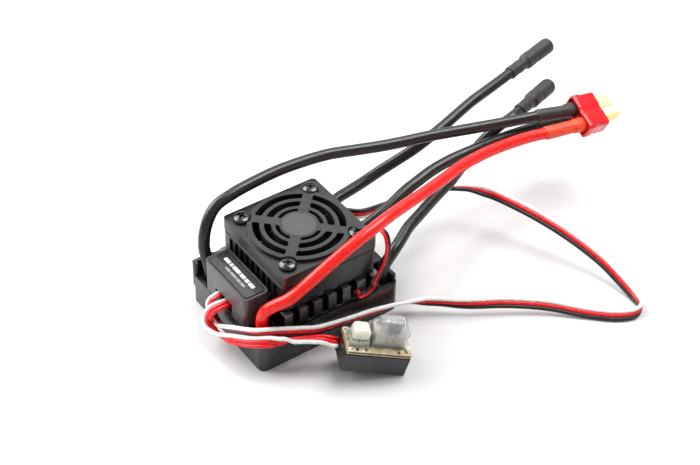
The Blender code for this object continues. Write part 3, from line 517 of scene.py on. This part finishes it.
def smooth_points(route, step):
    """Points about a step apart on the smooth curve through a route, with route places."""
    knots = [Vector(point) for point in route]
    knots = [2 * knots[0] - knots[1], *knots, 2 * knots[-1] - knots[-2]]
    dense = []
    for index in range(len(knots) - 3):
        four = knots[index:index + 4]
        times = [0.0]
        for near, far in zip(four, four[1:]):
            times.append(times[-1] + (far - near).length ** 0.5)
        for part in range(CURVE_PARTS):
            t = times[1] + (times[2] - times[1]) * part / CURVE_PARTS
            three = [between(*four[i:i + 2], *times[i:i + 2], t) for i in range(3)]
            two = [between(*three[i:i + 2], times[i], times[i + 2], t) for i in range(2)]
            dense.append((between(*two, times[1], times[2], t), index + part / CURVE_PARTS))
    dense.append((knots[-2], float(len(knots) - 3)))
    lengths = [0.0]
    for (near, _), (far, _) in zip(dense, dense[1:]):
        lengths.append(lengths[-1] + (far - near).length)
    count = max(2, round(lengths[-1] / step))
    points, places = [], []
    index = 0
    for number in range(count + 1):
        want = lengths[-1] * number / count
        while index < len(dense) - 2 and lengths[index + 1] < want:
            index += 1
        share = (want - lengths[index]) / (lengths[index + 1] - lengths[index])
        (near, near_place), (far, far_place) = dense[index], dense[index + 1]
        points.append(near.lerp(far, share))
        places.append(near_place + (far_place - near_place) * share)
    return points, places


def path_length(points):
    return sum((far - near).length for near, far in zip(points, points[1:]))


def tangents(points):
    ends = [points[0], *points, points[-1]]
    return [(ends[i + 2] - ends[i]).normalized() for i in range(len(points))]


def add_ring(shape, centre, side, other, radii, count, square=1.0):
    """One cross-section: an ellipse, or nearly a rectangle when square is below 1."""
    ring = []
    for number in range(count):
        angle = tau * number / count
        c, s = cos(angle), sin(angle)
        x = copysign(abs(c) ** square, c) * radii[0]
        y = copysign(abs(s) ** square, s) * radii[1]
        ring.append(shape.verts.new((centre + side * x + other * y) * MM))
    return ring


def bridge(shape, rings, material_index=0, caps=True):
    count = len(rings[0])
    for near, far in zip(rings, rings[1:]):
        for i in range(count):
            j = (i + 1) % count
            shape.faces.new((near[i], near[j], far[j], far[i])).material_index = material_index
    if caps:
        shape.faces.new(tuple(reversed(rings[0]))).material_index = material_index
        shape.faces.new(tuple(rings[-1])).material_index = material_index


def eased(stations, place):
    """The two stations round a place, and the eased share of the way between them."""
    index = 0
    while index < len(stations) - 2 and stations[index + 1][0] < place:
        index += 1
    near, far = stations[index:index + 2]
    share = min(1.0, max(0.0, (place - near[0]) / (far[0] - near[0])))
    return near, far, share * share * (3 - 2 * share)


def ways_along(name, places, directions):
    """The wide direction at every path point, from the few that a route states."""
    found = []
    for place, heading in zip(places, directions):
        (_, first), (_, second), share = eased(RIBBON_WAYS[name], place)
        way = Vector(first).lerp(Vector(second), share)
        found.append((way - heading * way.dot(heading)).normalized())
    return found


def flat_lead(name, route, wire, strands, step=0.9):
    """Wires side by side, fused into one flat lead; gives it, its path and its width."""
    radius, pitch = wire
    points, places = smooth_points(route, step)
    directions = tangents(points)
    ways = ways_along(name, places, directions)
    shape = bmesh.new()
    middle = (len(strands) - 1) / 2
    for point, way in zip(points, ways):
        point.z = max(point.z, radius + middle * pitch * abs(way.z) + FLOOR_GAP)
    for number in range(len(strands)):
        rings = [add_ring(shape, point + way * (number - middle) * pitch, way,
                          heading.cross(way), (radius, radius), 14)
                 for point, heading, way in zip(points, directions, ways)]
        bridge(shape, rings, number)
    piece = new_piece(name + "_strands", shape, strands, ROOT, name)
    return piece, points, 2 * radius + (len(strands) - 1) * pitch


# ---- leads ----
def thick_lead(name, material):
    """A power lead: a round jacket along its route."""
    points, _ = smooth_points(ROUTES[name], LEAD_STEP)
    curve = bpy.data.curves.new(name + "_jacket", "CURVE")
    curve.dimensions = "3D"
    curve.bevel_depth = POWER_LEAD_RADIUS * MM
    curve.bevel_resolution = 6
    curve.use_fill_caps = True
    curve.resolution_u = 1
    spline = curve.splines.new("POLY")
    spline.points.add(len(points) - 1)
    for knot, point in zip(spline.points, points):
        knot.co = (*(point * MM), 1.0)
    spline.use_smooth = True
    piece = new_piece(name + "_jacket", curve, material, ROOT, name)


def make_flat_leads():
    module = module_matrix()
    switch_route = [*ROUTES["switch_lead"],
                    *(module @ Vector(point) for point in SWITCH_LEAD_END)]
    receiver = flat_lead("receiver_lead", ROUTES["receiver_lead"], STRAND,
                         ("black_strand", "red_strand", "white_strand"))
    switch = flat_lead("switch_lead", switch_route, STRAND,
                       ("red_strand", "red_strand", "white_strand"))
    fan = flat_lead("fan_lead", ROUTES["fan_lead"], FAN_WIRE, ("black_strand", "red_strand"),
                    0.6)
    plug = refined("receiver_plug", "dark", 0.25)


def along(start, axis, side):
    """The matrix whose Z is an axis and whose X is near a side direction."""
    axis = axis.normalized()
    side = (side - axis * side.dot(axis)).normalized()
    turn = Matrix((side, axis.cross(side), axis)).transposed().to_4x4()
    return Matrix.Translation(start) @ turn


def swept(name, points, sections, side, look, replaces, ripple, sides=28):
    """A sleeve along a path; sections are (share of the length, radii, squareness)."""
    headings = tangents(points)
    shape = bmesh.new()
    rings = []
    total = path_length(points)
    done = 0.0
    across = side
    for index, (point, heading) in enumerate(zip(points, headings)):
        if index:
            done += (point - points[index - 1]).length
        across = (across - heading * across.dot(heading)).normalized()
        (_, near_radii, near_square), (_, far_radii, far_square), t = eased(
            sections, done / total)
        wave = ripple * (sin(done * 5.1) + 0.6 * sin(done * 8.3 + 1.0))
        radii = [a + (b - a) * t + wave for a, b in zip(near_radii, far_radii)]
        rings.append(add_ring(shape, point, across, heading.cross(across), radii, sides,
                              near_square + (far_square - near_square) * t))
    bridge(shape, rings)
    return new_piece(name, shape, look, ROOT, replaces)


def make_battery_leads():
    housing, blades = make_plug()
    for name, side, wire, shrink_name, slots in (
            ("negative", -1, "black_wire", "black_shrink", ("black_silicone", "black_sleeve")),
            ("positive", 1, "red_wire", "red_shrink", ("red_silicone", "red_sleeve"))):
        points, _ = smooth_points(ROUTES["battery_lead_" + name], LEAD_STEP)
        start = points[-1] + (points[-1] - points[-2]).normalized() * 1.5 * GAP
        end = PLUG_CENTRE + PLUG_WIDE * side * PLUG_LEAD_OFFSET - PLUG_AXIS * GAP
        straight = end - PLUG_AXIS * 6.0
        middle = start.lerp(straight, 0.5)
        begin = start - (points[-1] - points[-2]).normalized() * 1.2
        sleeve_points, _ = smooth_points((begin, start, middle, straight, end), 0.3)
        sleeve = swept("battery_sleeve_" + name + "_shrink", sleeve_points, (
            (0.0, (1.98, 1.98), 1.0), (0.03, (2.16, 2.16), 1.0), (0.5, (2.1, 2.1), 1.0),
            (0.64, (2.05, 2.1), 1.0), (0.72, (2.3, 2.15), 0.85), (0.93, (2.28, 2.1), 0.75),
            (1.0, (1.9, 1.75), 0.8)), PLUG_WIDE, shrink_name,
            "battery_sleeve_" + name, ripple=0.012)
        thick_lead("battery_lead_" + name, wire)


def make_motor_leads():
    for name in ("rear", "middle", "front"):
        points, _ = smooth_points(ROUTES["motor_lead_" + name], 5.0)
        heading = (points[-1] - points[-2]).normalized()
        place = along(points[-1] + heading * GAP, heading, Vector((0, 0, 1)))
        sleeve = bullet_sleeve(name, place)
        socket = refined("bullet_socket_" + name, "gold", 0.15, 2, 50)
        thick_lead("motor_lead_" + name, "black_wire")


def lathe(name, profile, place, look, replaces, sides=40, squash=None):
    """A turned piece about the z of a matrix; the profile runs as (radius, height)."""
    shape = bmesh.new()
    rings = []
    for radius, height in profile:
        ring = []
        for number in range(sides):
            angle = tau * number / sides
            reach = radius * squash(angle, height) if squash else radius
            spot = Vector((reach * cos(angle), reach * sin(angle), height))
            ring.append(shape.verts.new(place @ spot * MM))
        rings.append(ring)
    bridge(shape, rings)
    return new_piece(name, shape, look, ROOT, replaces)


def bullet_sleeve(name, place):
    """Heat-shrink over a bullet socket: a collar on the lead, a bulge, a ribbed barrel."""
    def outer(height):
        if height < COLLAR_LENGTH:
            base = COLLAR_RADIUS - 0.08 + 0.05 * sin(height * 1.7)
            return base + 0.05 * exp(-(height / 0.35) ** 2)
        rise = min(1.0, (height - COLLAR_LENGTH) / 1.1)
        base = COLLAR_RADIUS + (BULLET_RADIUS - COLLAR_RADIUS) * rise * (2 - rise) - 0.06
        base -= 0.2 * exp(-((height - 12.9) / 0.55) ** 2)
        ribs = min(1.0, max(0.0, (height - 12.5) / 1.5))
        wrinkle = 0.03 * sin(height * 9.1) * (1 - ribs)
        return base + wrinkle + 0.05 * ribs * sin(height * 6.6)

    profile = [(1.86, -0.2), (COLLAR_RADIUS - 0.1, -0.15)]
    steps = 150
    for number in range(steps + 1):
        height = 0.1 + (BULLET_END - 0.5) * number / steps
        profile.append((outer(height), height))
    profile += [(BULLET_RADIUS - 0.12, BULLET_END - 0.2), (BULLET_RADIUS - 0.3, BULLET_END),
                (BULLET_BORE + 0.02, BULLET_END - 0.05), (BULLET_BORE, BULLET_END - 0.4),
                (BULLET_BORE, BULLET_BORE_START), (0.3, BULLET_BORE_START)]

    def oval(angle, height):
        bulge = exp(-((height - 10.2) / 1.8) ** 2)
        return 1.0 + 0.035 * bulge * cos(2 * angle + 0.7)

    return lathe("bullet_sleeve_" + name + "_shrink", profile, place, "black_shrink",
                 "bullet_sleeve_" + name, squash=oval)


# ---- battery plug ----
def plug_outline(inset):
    """The housing's outline across its axis: a rounded block, waisted on its wide faces."""
    half_width, half_thick = PLUG_WIDTH / 2 - inset, PLUG_THICKNESS / 2 - inset
    reach_x, reach_y = half_width - PLUG_CORNER, half_thick - PLUG_CORNER
    points = []
    for quadrant, (sign_x, sign_y) in enumerate(QUADRANTS):
        for step in range(7):
            angle = radians(90 * quadrant + 15 * step)
            points.append((sign_x * reach_x + PLUG_CORNER * cos(angle),
                           sign_y * reach_y + PLUG_CORNER * sin(angle)))
        if quadrant in (0, 2):
            for step in range(1, 20):
                x = reach_x * (1 - step / 10) * sign_x
                dip = WAIST_DEPTH * exp(-(x / WAIST_SPREAD) ** 2)
                points.append((x, sign_y * (half_thick - dip)))
        else:
            for step in (1, 2):
                points.append((sign_x * half_width, sign_y * reach_y * (1 - 2 * step / 3)))
    return points


def make_plug():
    """The plug: a waisted housing with a deep rim on its wire side, and two flat blades."""
    place = along(PLUG_CENTRE, PLUG_AXIS, PLUG_WIDE)
    stations = ((1.2, 0.0), (0.85, -0.1), (0.7, -0.4), (0.62, -PLUG_RIM + 0.15),
                (0.45, -PLUG_RIM), (0.2, -PLUG_RIM), (0.05, -PLUG_RIM + 0.12),
                (0.0, -PLUG_RIM + 0.4), (0.0, 0.9), (0.1, 1.15), (0.25, 1.4),
                (0.25, PLUG_DEPTH - 0.9), (0.3, PLUG_DEPTH - 0.35), (0.5, PLUG_DEPTH - 0.06),
                (0.8, PLUG_DEPTH))
    shape = bmesh.new()
    rings = []
    for inset, height in stations:
        rings.append([shape.verts.new(place @ Vector((x, y, height)) * MM)
                      for x, y in plug_outline(inset)])
    bridge(shape, rings)
    housing = new_piece("plug_housing_shell", shape, "plug", ROOT, "plug_housing")
    blades = [refined("plug_blade_" + name, "gold", 0.22, 3, 40)
              for name in ("upright", "flat")]
    return housing, blades


# ---- case, fan and label ----
def make_case():
    refined("base_tray", "tray", 0.35)
    refined("label_cover", "cover", 0.45)
    refined("motor_end_cover", "case", 0.35)
    refined("heat_sink", "sink", 0.12, 2)
    refined("fan_frame", "fan", 0.15, 2)
    refined("cable_grommet", "rubber", 0.3)
    for name in ("battery_seal_negative", "battery_seal_positive", "motor_seal_rear",
                 "motor_seal_middle", "motor_seal_front"):
        refined(name, "rubber", 0.25, 2)
    refined("label_plate", "label", 0.06, 2)
    refined("fan_rotor", "fan", 0.12, 2, 35, "fan_wheel")


def make_label_marks():
    """Plain blocks in a long white row and a short grey row, in place of any print."""
    low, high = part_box("label_plate")
    for name, look, place, depth, space, shift, widths in (
            ("long_row", "print", 0.64, 1.15, 0.42, 0.0, (2.6, 1.1, 3.4, 2.2, 1.4, 2.4)),
            ("short_row", "grey_print", 0.34, 0.8, 0.36, -0.8, (2.2, 3.0, 1.6, 2.0))):
        middle = (low.x + place * (high.x - low.x)) / MM
        start = 0.5 * (sum(widths) + space * (len(widths) - 1)) + shift
        shape = bmesh.new()
        for width in widths:
            made = bmesh.ops.create_cube(shape, size=1.0)["verts"]
            bmesh.ops.scale(shape, vec=(depth, width, 0.03), verts=made)
            bmesh.ops.translate(shape, vec=(middle, start - width / 2, high.z / MM + 0.012),
                                verts=made)
            start -= width + space
        bmesh.ops.scale(shape, vec=(MM, MM, MM), verts=shape.verts)
        piece = new_piece("label_" + name, shape, look)
        round_edges(piece, 0.2, 2, 60)


def make_screws():
    """Domed screws with a crossed recess."""
    for number in range(1, 5):
        node = "guard_screw_" + str(number)
        low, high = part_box(node)
        middle = (low + high) / 2 / MM
        place = Matrix.Translation((middle.x, middle.y, high.z / MM - 1.2))
        place = place @ Matrix.Rotation(radians(25 + 31 * number), 4, "Z")
        profile = [(0.06, 1.2)]
        for step in range(1, 10):
            angle = radians(10 * step)
            profile.append((SCREW_RADIUS * sin(angle), 0.35 + SCREW_DOME * cos(angle)))
        profile += [(SCREW_RADIUS, 0.12), (SCREW_RADIUS - 0.12, 0.0), (1.1, 0.0), (1.1, -9.5),
                    (0.2, -10.2)]
        screw = lathe(node + "_head", profile, place, "screw", node, 48)
        combine(screw, [cross_cutter(place)], "DIFFERENCE")
        screw.data.set_sharp_from_angle(angle=radians(35))


def rounded_outline(low, high, corner, steps):
    """A rectangle's outline with round corners, counter-clockwise."""
    points = []
    for quadrant, (sign_x, sign_y) in enumerate(QUADRANTS):
        x, y = (high if sign_x > 0 else low)[0], (high if sign_y > 0 else low)[1]
        for step in range(steps + 1):
            angle = radians(90 * quadrant + 90 * step / steps)
            points.append((x - sign_x * corner + corner * cos(angle),
                           y - sign_y * corner + corner * sin(angle)))
    return points


def square_outline(half, corner):
    return rounded_outline((-half, -half), (half, half), corner, 8)


def circle_outline(radius, sides):
    return [(radius * cos(tau * i / sides), radius * sin(tau * i / sides))
            for i in range(sides)]


def slot_outline(inner, outer, middle_angle):
    """A curved slot between two parallel-sided spokes, its corners rounded."""
    def half_angle(radius):
        inset = 0.0
        for edge in (radius - inner, outer - radius):
            if edge < SLOT_CORNER:
                rise = SLOT_CORNER ** 2 - (SLOT_CORNER - edge) ** 2
                inset = SLOT_CORNER - sqrt(max(0.0, rise))
        return pi / 4 - asin(SPOKE_WIDTH / 2 / radius) - inset / radius

    radii = [inner + SLOT_CORNER * (1 - cos(radians(15 * i))) for i in range(7)]
    radii += [inner + outer - radius for radius in reversed(radii)]
    low, high = half_angle(inner), half_angle(outer)
    polar = [(inner, low * (2 * i / 24 - 1)) for i in range(1, 24)]
    polar += [(radius, half_angle(radius)) for radius in radii]
    polar += [(outer, high * (1 - 2 * i / 24)) for i in range(1, 24)]
    polar += [(radius, -half_angle(radius)) for radius in reversed(radii)]
    return [(radius * cos(middle_angle + angle), radius * sin(middle_angle + angle))
            for radius, angle in polar]


def prism(name, outline, low_z, high_z, centre):
    """An upright solid of any outline, in millimetres about a centre."""
    shape = bmesh.new()
    bridge(shape, [[shape.verts.new(Vector((x + centre[0], y + centre[1], z)) * MM)
                    for x, y in outline] for z in (low_z, high_z)])
    return plain_object(name, to_mesh(shape, name))


def combine(base, tools, operation):
    """Boolean a list of solids into a base one and drop them."""
    for tool in tools:
        change = base.modifiers.new(operation, "BOOLEAN")
        change.object = tool
        change.operation = operation
        change.solver = "EXACT"
    bake(base)
    for tool in tools:
        bpy.data.objects.remove(tool, do_unlink=True)


def finish_solid(piece, look, node, width):
    """Turn a combined solid into a visible piece."""
    piece.data.materials.clear()
    piece.data.materials.append(LOOK[look])
    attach(piece, ROOT)
    if node is not None:
        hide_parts(node)
    round_edges(piece, width, 3, 35)


def solid_box(node):
    """A node's centre across, half width, bottom and top, in millimetres."""
    low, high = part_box(node)
    centre = ((low.x + high.x) / 2 / MM, (low.y + high.y) / 2 / MM)
    return centre, (high.x - low.x) / 2 / MM, low.z / MM, high.z / MM


def make_shroud():
    """The box round the fan: a floor with a round throat and a row of narrow vents."""
    centre, half, bottom, top = solid_box("fan_shroud")
    centre = (centre[0], 0.0)
    shroud = prism("fan_shroud_box", square_outline(half, SHROUD_CORNER), bottom, top, centre)
    cuts = [prism("hollow", square_outline(half - SHROUD_WALL, 0.9), bottom + SHROUD_FLOOR,
                  top + BEYOND, centre),
            prism("throat", circle_outline(THROAT_RADIUS, 72), bottom - BEYOND, top + BEYOND,
                  centre)]
    for number in range(VENT_COUNT):
        y = (number - VENT_COUNT // 2) * VENT_PITCH
        side = VENT_WIDTH / 2
        outline = [(40, y + side), (-40, y + side), (-40, y - side), (40, y - side)]
        cuts.append(prism("vent", outline, bottom + SHROUD_FLOOR + 0.6, top - 1.0, (0.0, 0.0)))
    combine(shroud, cuts, "DIFFERENCE")
    finish_solid(shroud, "case", "fan_shroud", 0.2)


def make_guard():
    """The fan guard: a square cap, a raised disc, three rows of slots and screw seats."""
    centre, half, bottom, ring_top = solid_box("fan_guard")
    plate_top = ring_top - GUARD_RISE
    guard = prism("fan_guard_cap", square_outline(half, GUARD_CORNER), bottom, plate_top,
                  centre)
    disc = prism("disc", circle_outline(DISC_RADIUS, 112), plate_top - 0.6, ring_top, centre)
    combine(guard, [disc], "UNION")
    cuts = [prism("hollow", square_outline(half - SHROUD_WALL, 0.7), bottom - BEYOND,
                  plate_top - GUARD_PLATE, centre)]
    for inner, outer in SLOT_ROWS:
        for quarter in range(1, 5):
            cuts.append(prism("slot", slot_outline(inner, outer, pi / 2 * quarter), bottom,
                              ring_top + BEYOND, centre))
    for sign_x, sign_y in ((-1, -1), (-1, 1), (1, -1), (1, 1)):
        place = (centre[0] + sign_x * SCREW_REACH, centre[1] + sign_y * SCREW_REACH)
        cuts.append(prism("seat", circle_outline(SEAT_RADIUS, 40), plate_top, 50, place))
        cuts.append(prism("hole", circle_outline(HOLE_RADIUS, 24), bottom - BEYOND, 50, place))
    combine(guard, cuts, "DIFFERENCE")
    finish_solid(guard, "guard", "fan_guard", 0.3)
    hub = prism("guard_hub_disc", circle_outline(HUB_RADIUS, 64), ring_top - 0.05,
                ring_top + 0.05, centre)
    finish_solid(hub, "hub", None, 0.04)


def cross_cutter(place):
    """Two crossed tapered bars that narrow downwards."""
    shape = bmesh.new()
    rings = []
    for arm, half, height in ((0.75, 0.2, 0.1), (1.55, 0.42, 1.6)):
        outline = ((arm, half), (half, half), (half, arm), (-half, arm), (-half, half),
                   (-arm, half), (-arm, -half), (-half, -half), (-half, -arm), (half, -arm),
                   (half, -half), (arm, -half))
        rings.append([shape.verts.new(place @ Vector((x, y, height)) * MM)
                      for x, y in outline])
    bridge(shape, rings)
    return plain_object("cutter", to_mesh(shape, "cutter"))


def bake(piece):
    """Replace a piece's mesh by what its modifiers make of it."""
    bpy.context.view_layer.update()
    graph = bpy.context.evaluated_depsgraph_get()
    mesh = bpy.data.meshes.new_from_object(piece.evaluated_get(graph))
    piece.modifiers.clear()
    piece.data = mesh


# ---- switch module ----
def module_matrix():
    turn = Euler((0, MODULE_TILT, MODULE_YAW), "XYZ").to_matrix().to_4x4()
    return Matrix.Translation(MODULE_PLACE) @ turn


def level_ring(shape, place, height, low, high, corner):
    """One level ring of a rounded box, in a piece's own frame."""
    corner = min(corner, (high[0] - low[0]) / 2 - 0.01, (high[1] - low[1]) / 2 - 0.01)
    return [shape.verts.new(place @ Vector((x, y, height)) * MM)
            for x, y in rounded_outline(low, high, corner, 5)]


def domed_levels(low, high, bottom, top, corner, rim):
    """Levels of a box whose upper edge is rounded by rim."""
    levels = [(bottom, 0.0), (top - rim, 0.0)]
    for step in range(1, 6):
        angle = radians(18 * step)
        levels.append((top - rim + rim * sin(angle), rim * (1 - cos(angle))))
    return [(height, (low[0] + inset, low[1] + inset), (high[0] - inset, high[1] - inset),
             max(0.12, corner - inset)) for height, inset in levels]


def lofted(name, levels, place, look, replaces, body=ROOT, hollow=None, sharp=None):
    """A closed solid through level rings; hollow is the inner surface's levels."""
    shape = bmesh.new()
    outer = [level_ring(shape, place, *level) for level in levels]
    bridge(shape, outer, caps=False)
    shape.faces.new(tuple(outer[-1]))
    if hollow is None:
        shape.faces.new(tuple(reversed(outer[0])))
    else:
        inner = [level_ring(shape, place, *level) for level in hollow]
        bridge(shape, list(reversed(inner)), caps=False)
        shape.faces.new(tuple(reversed(inner[-1])))
        bridge(shape, [inner[0], outer[0]], caps=False)
    piece = new_piece(name, shape, look, body, replaces)
    if sharp is not None:
        piece.data.set_sharp_from_angle(angle=radians(sharp))
    return piece


def make_board(place):
    """The switch board: two sheets round a dark core that is painted shade of the gap between
    them, with pads and small parts on top.
    """
    bottom = MODULE_HEIGHT + GAP
    for name, look, low_z, high_z, inset, node in (
            ("lower_sheet", "board", bottom, bottom + SHEET, 0.0, "switch_board"),
            ("upper_sheet", "board", BOARD_TOP - SHEET, BOARD_TOP, 0.0, ()),
            # the core's dark colour is painted shade of the gap between the two sheets
            ("core", "board_core", bottom + SHEET - 0.05, BOARD_TOP - SHEET + 0.05, 0.25, ())):
        x, y = 9.6 - inset, 4.9 - inset
        sheet = lofted("switch_board_" + name, [(z, (-x, -y), (x, y), 0.3)
                                                for z in (low_z, high_z)],
                       place, look, node)
        round_edges(sheet, 0.07, 2, 35)
    for number, (x, y, radius) in enumerate((
            (-8.4, -3.7, 0.75), (-8.5, 3.6, 0.7), (8.5, -3.9, 0.55), (8.6, 3.4, 0.7),
            (-8.6, 1.2, 0.6), (-8.6, -1.2, 0.6))):
        spot = place @ Matrix.Translation((x, y, BOARD_TOP))
        lathe("solder_pad_" + str(number), (
            (radius, -0.02), (radius, 0.07), (radius * 0.72, 0.12), (radius * 0.62, 0.3),
            (radius * 0.42, 0.48), (radius * 0.18, 0.56)), spot, "solder", (),
            24)
    for number, (x, y, length, width, height) in enumerate((
            (-6.9, -4.15, 1.5, 0.75, 0.45), (-4.2, -4.2, 1.1, 0.6, 0.4),
            (-7.4, 4.0, 1.3, 0.7, 0.45), (5.6, -4.2, 1.2, 0.6, 0.4),
            (-2.8, 3.9, 1.6, 0.8, 0.5), (7.6, 1.0, 0.7, 1.3, 0.45))):
        for part, look, span, grow, lift in (("body", "dark", 0.62, 0.03, 0.0),
                                             ("ends", "solder", 1.0, 0.0, -0.04)):
            half_x = length / 2 * (span if length > width else 1.0) + grow
            half_y = width / 2 * (1.0 if length > width else span) + grow
            lofted("chip_" + str(number) + "_" + part, domed_levels(
                (x - half_x, y - half_y), (x + half_x, y + half_y), BOARD_TOP - 0.02,
                BOARD_TOP + height + lift, 0.08, 0.08), place, look, (), sharp=50)


def make_button(place):
    """The set button: a soft base block and a domed cap that sinks into it."""
    def block(half, *levels):
        x, y = BUTTON_CENTRE
        return domed_levels((x - half, y - half), (x + half, y + half), *levels)

    base_top = BOARD_TOP + 2.2
    base = block(2.85, BOARD_TOP + 0.05, base_top, 0.7, 0.5)
    neck = block(1.9, base_top + 0.02, base_top + 1.1, 0.6, 0.3)
    lofted("set_button_base_block", base + neck, place, "button_base", "set_button_base")
    bottom, top = base_top + 0.55, base_top + 3.6
    dome = block(2.6, bottom + 0.1, top, 1.4, 1.7)[:-1]
    outer = [(bottom, *dome[0][1:3], 0.9), *dome]
    lofted("set_button_cap_dome", outer, place, "cream", "set_button_cap",
           "set_button", block(2.1, bottom, bottom + 1.2, 0.7, 0.3))


def make_slide_switch(place):
    """The slide switch: a metal box with two marks, its slider and the clear boot over it."""
    lofted("switch_case_box", domed_levels(
        (-1.9, -2.0), (6.9, 2.0), BOARD_TOP + 0.05, 12.3, 0.3, 0.25), place, "nickel",
        "switch_case", sharp=40)
    for number, x in enumerate((1.5, 3.3)):
        mark = lofted("switch_case_mark_" + str(number), [
            (height, (x, -2.07), (x + 0.42, -1.9), 0.08) for height in (9.9, 11.4)],
            place, "dark", ())
        round_edges(mark, 0.03, 2, 40)
    lofted("switch_case_foot", domed_levels(
        (-2.1, -2.25), (7.1, 2.25), BOARD_TOP + 0.02, BOARD_TOP + 0.75, 0.3, 0.1), place,
        "dark", (), sharp=40)
    refined("switch_slider", "slider", 0.25, 3, body="power_slider")
    outer = [(height, (left, -side), (right, side), corner)
             for height, left, right, side, corner in (
                 (BOARD_TOP + 0.1, -2.9, 7.8, 2.75, 0.9),
                 (BOARD_TOP + 0.5, -2.75, 7.65, 2.62, 0.9),
                 (12.4, -2.65, 7.55, 2.6, 0.8), (12.7, -3.0, 7.9, 2.75, 0.8),
                 (13.5, -3.0, 7.9, 2.75, 0.8), (14.0, -2.7, 7.6, 2.55, 0.7),
                 (14.2, -1.9, 6.9, 2.3, 0.7), (14.6, -1.4, 6.4, 2.12, 0.8),
                 (16.2, -1.25, 6.25, 2.05, 0.9), (16.75, -1.05, 6.05, 1.85, 0.9),
                 (17.0, -0.6, 5.6, 1.4, 0.8))]
    inner = [(height - (BOOT_WALL if height > 13.8 else 0.0),
              (low[0] + BOOT_WALL, low[1] + BOOT_WALL),
              (high[0] - BOOT_WALL, high[1] - BOOT_WALL), max(0.2, corner - BOOT_WALL * 0.5))
             for height, low, high, corner in outer]
    lofted("switch_boot_shell", outer, place, "boot", "switch_boot",
           hollow=inner)


def make_module():
    place = module_matrix()
    refined("switch_tray", "module", 0.25)
    refined("switch_potting", "potting", 0.2, 2)
    refined("status_led", "cream", 0.25, 3)
    make_board(place)
    make_button(place)
    make_slide_switch(place)


def make_insides():
    """The hidden parts keep their CAD shapes and get their own materials."""
    for look, nodes in (
            ("board", ("control_board", "power_board")), ("thermal", ("thermal_pad",)),
            ("gold", ("fan_stator",)),
            ("dark", ("board_connector", "transistor_bank_a", "transistor_bank_b",
                      "transistor_bank_c", "capacitor_1", "capacitor_2"))):
        for node in nodes:
            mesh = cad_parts[node].data
            mesh.materials.clear()
            mesh.materials.append(LOOK[look])


# ---- studio ----
def area_light(name, place, target, size, power):
    data = bpy.data.lights.new(name, "AREA")
    data.shape = "RECTANGLE"
    data.size, data.size_y = size
    data.energy = power
    light = plain_object(name, data)
    light.location = place
    light.rotation_euler = (Vector(target) - Vector(place)).to_track_quat("-Z", "Y").to_euler()


def make_studio():
    world = bpy.data.worlds.new("studio")
    SCENE.world = world
    world.use_nodes = True
    background = world.node_tree.nodes["Background"]
    background.inputs["Color"].default_value = (1.0, 1.0, 1.0, 1.0)
    background.inputs["Strength"].default_value = WORLD_LIGHT
    SCENE.view_settings.view_transform = "Standard"
    shape = bmesh.new()
    bmesh.ops.create_grid(shape, x_segments=1, y_segments=1, size=FLOOR_HALF)
    bmesh.ops.translate(shape, vec=(0, 0, -FLOOR_DROP), verts=shape.verts)
    floor = plain_object("floor", to_mesh(shape, "floor", False))
    look = Shader("floor_paper")
    look.put(Roughness=0.6, IOR=1.4)
    tone = look.mix(look.span(look.noise(30.0, 3.0), 0.0, 1.0), *FLOOR_TONES)
    floor.data.materials.append(look.finish(tone))
    for light in SOFT_LIGHTS:
        area_light(*light)


make_camera()
LOOK = make_materials()
make_flat_leads()
make_battery_leads()
make_motor_leads()
make_case()
make_shroud()
make_guard()
make_label_marks()
make_screws()
make_module()
make_insides()
make_studio()
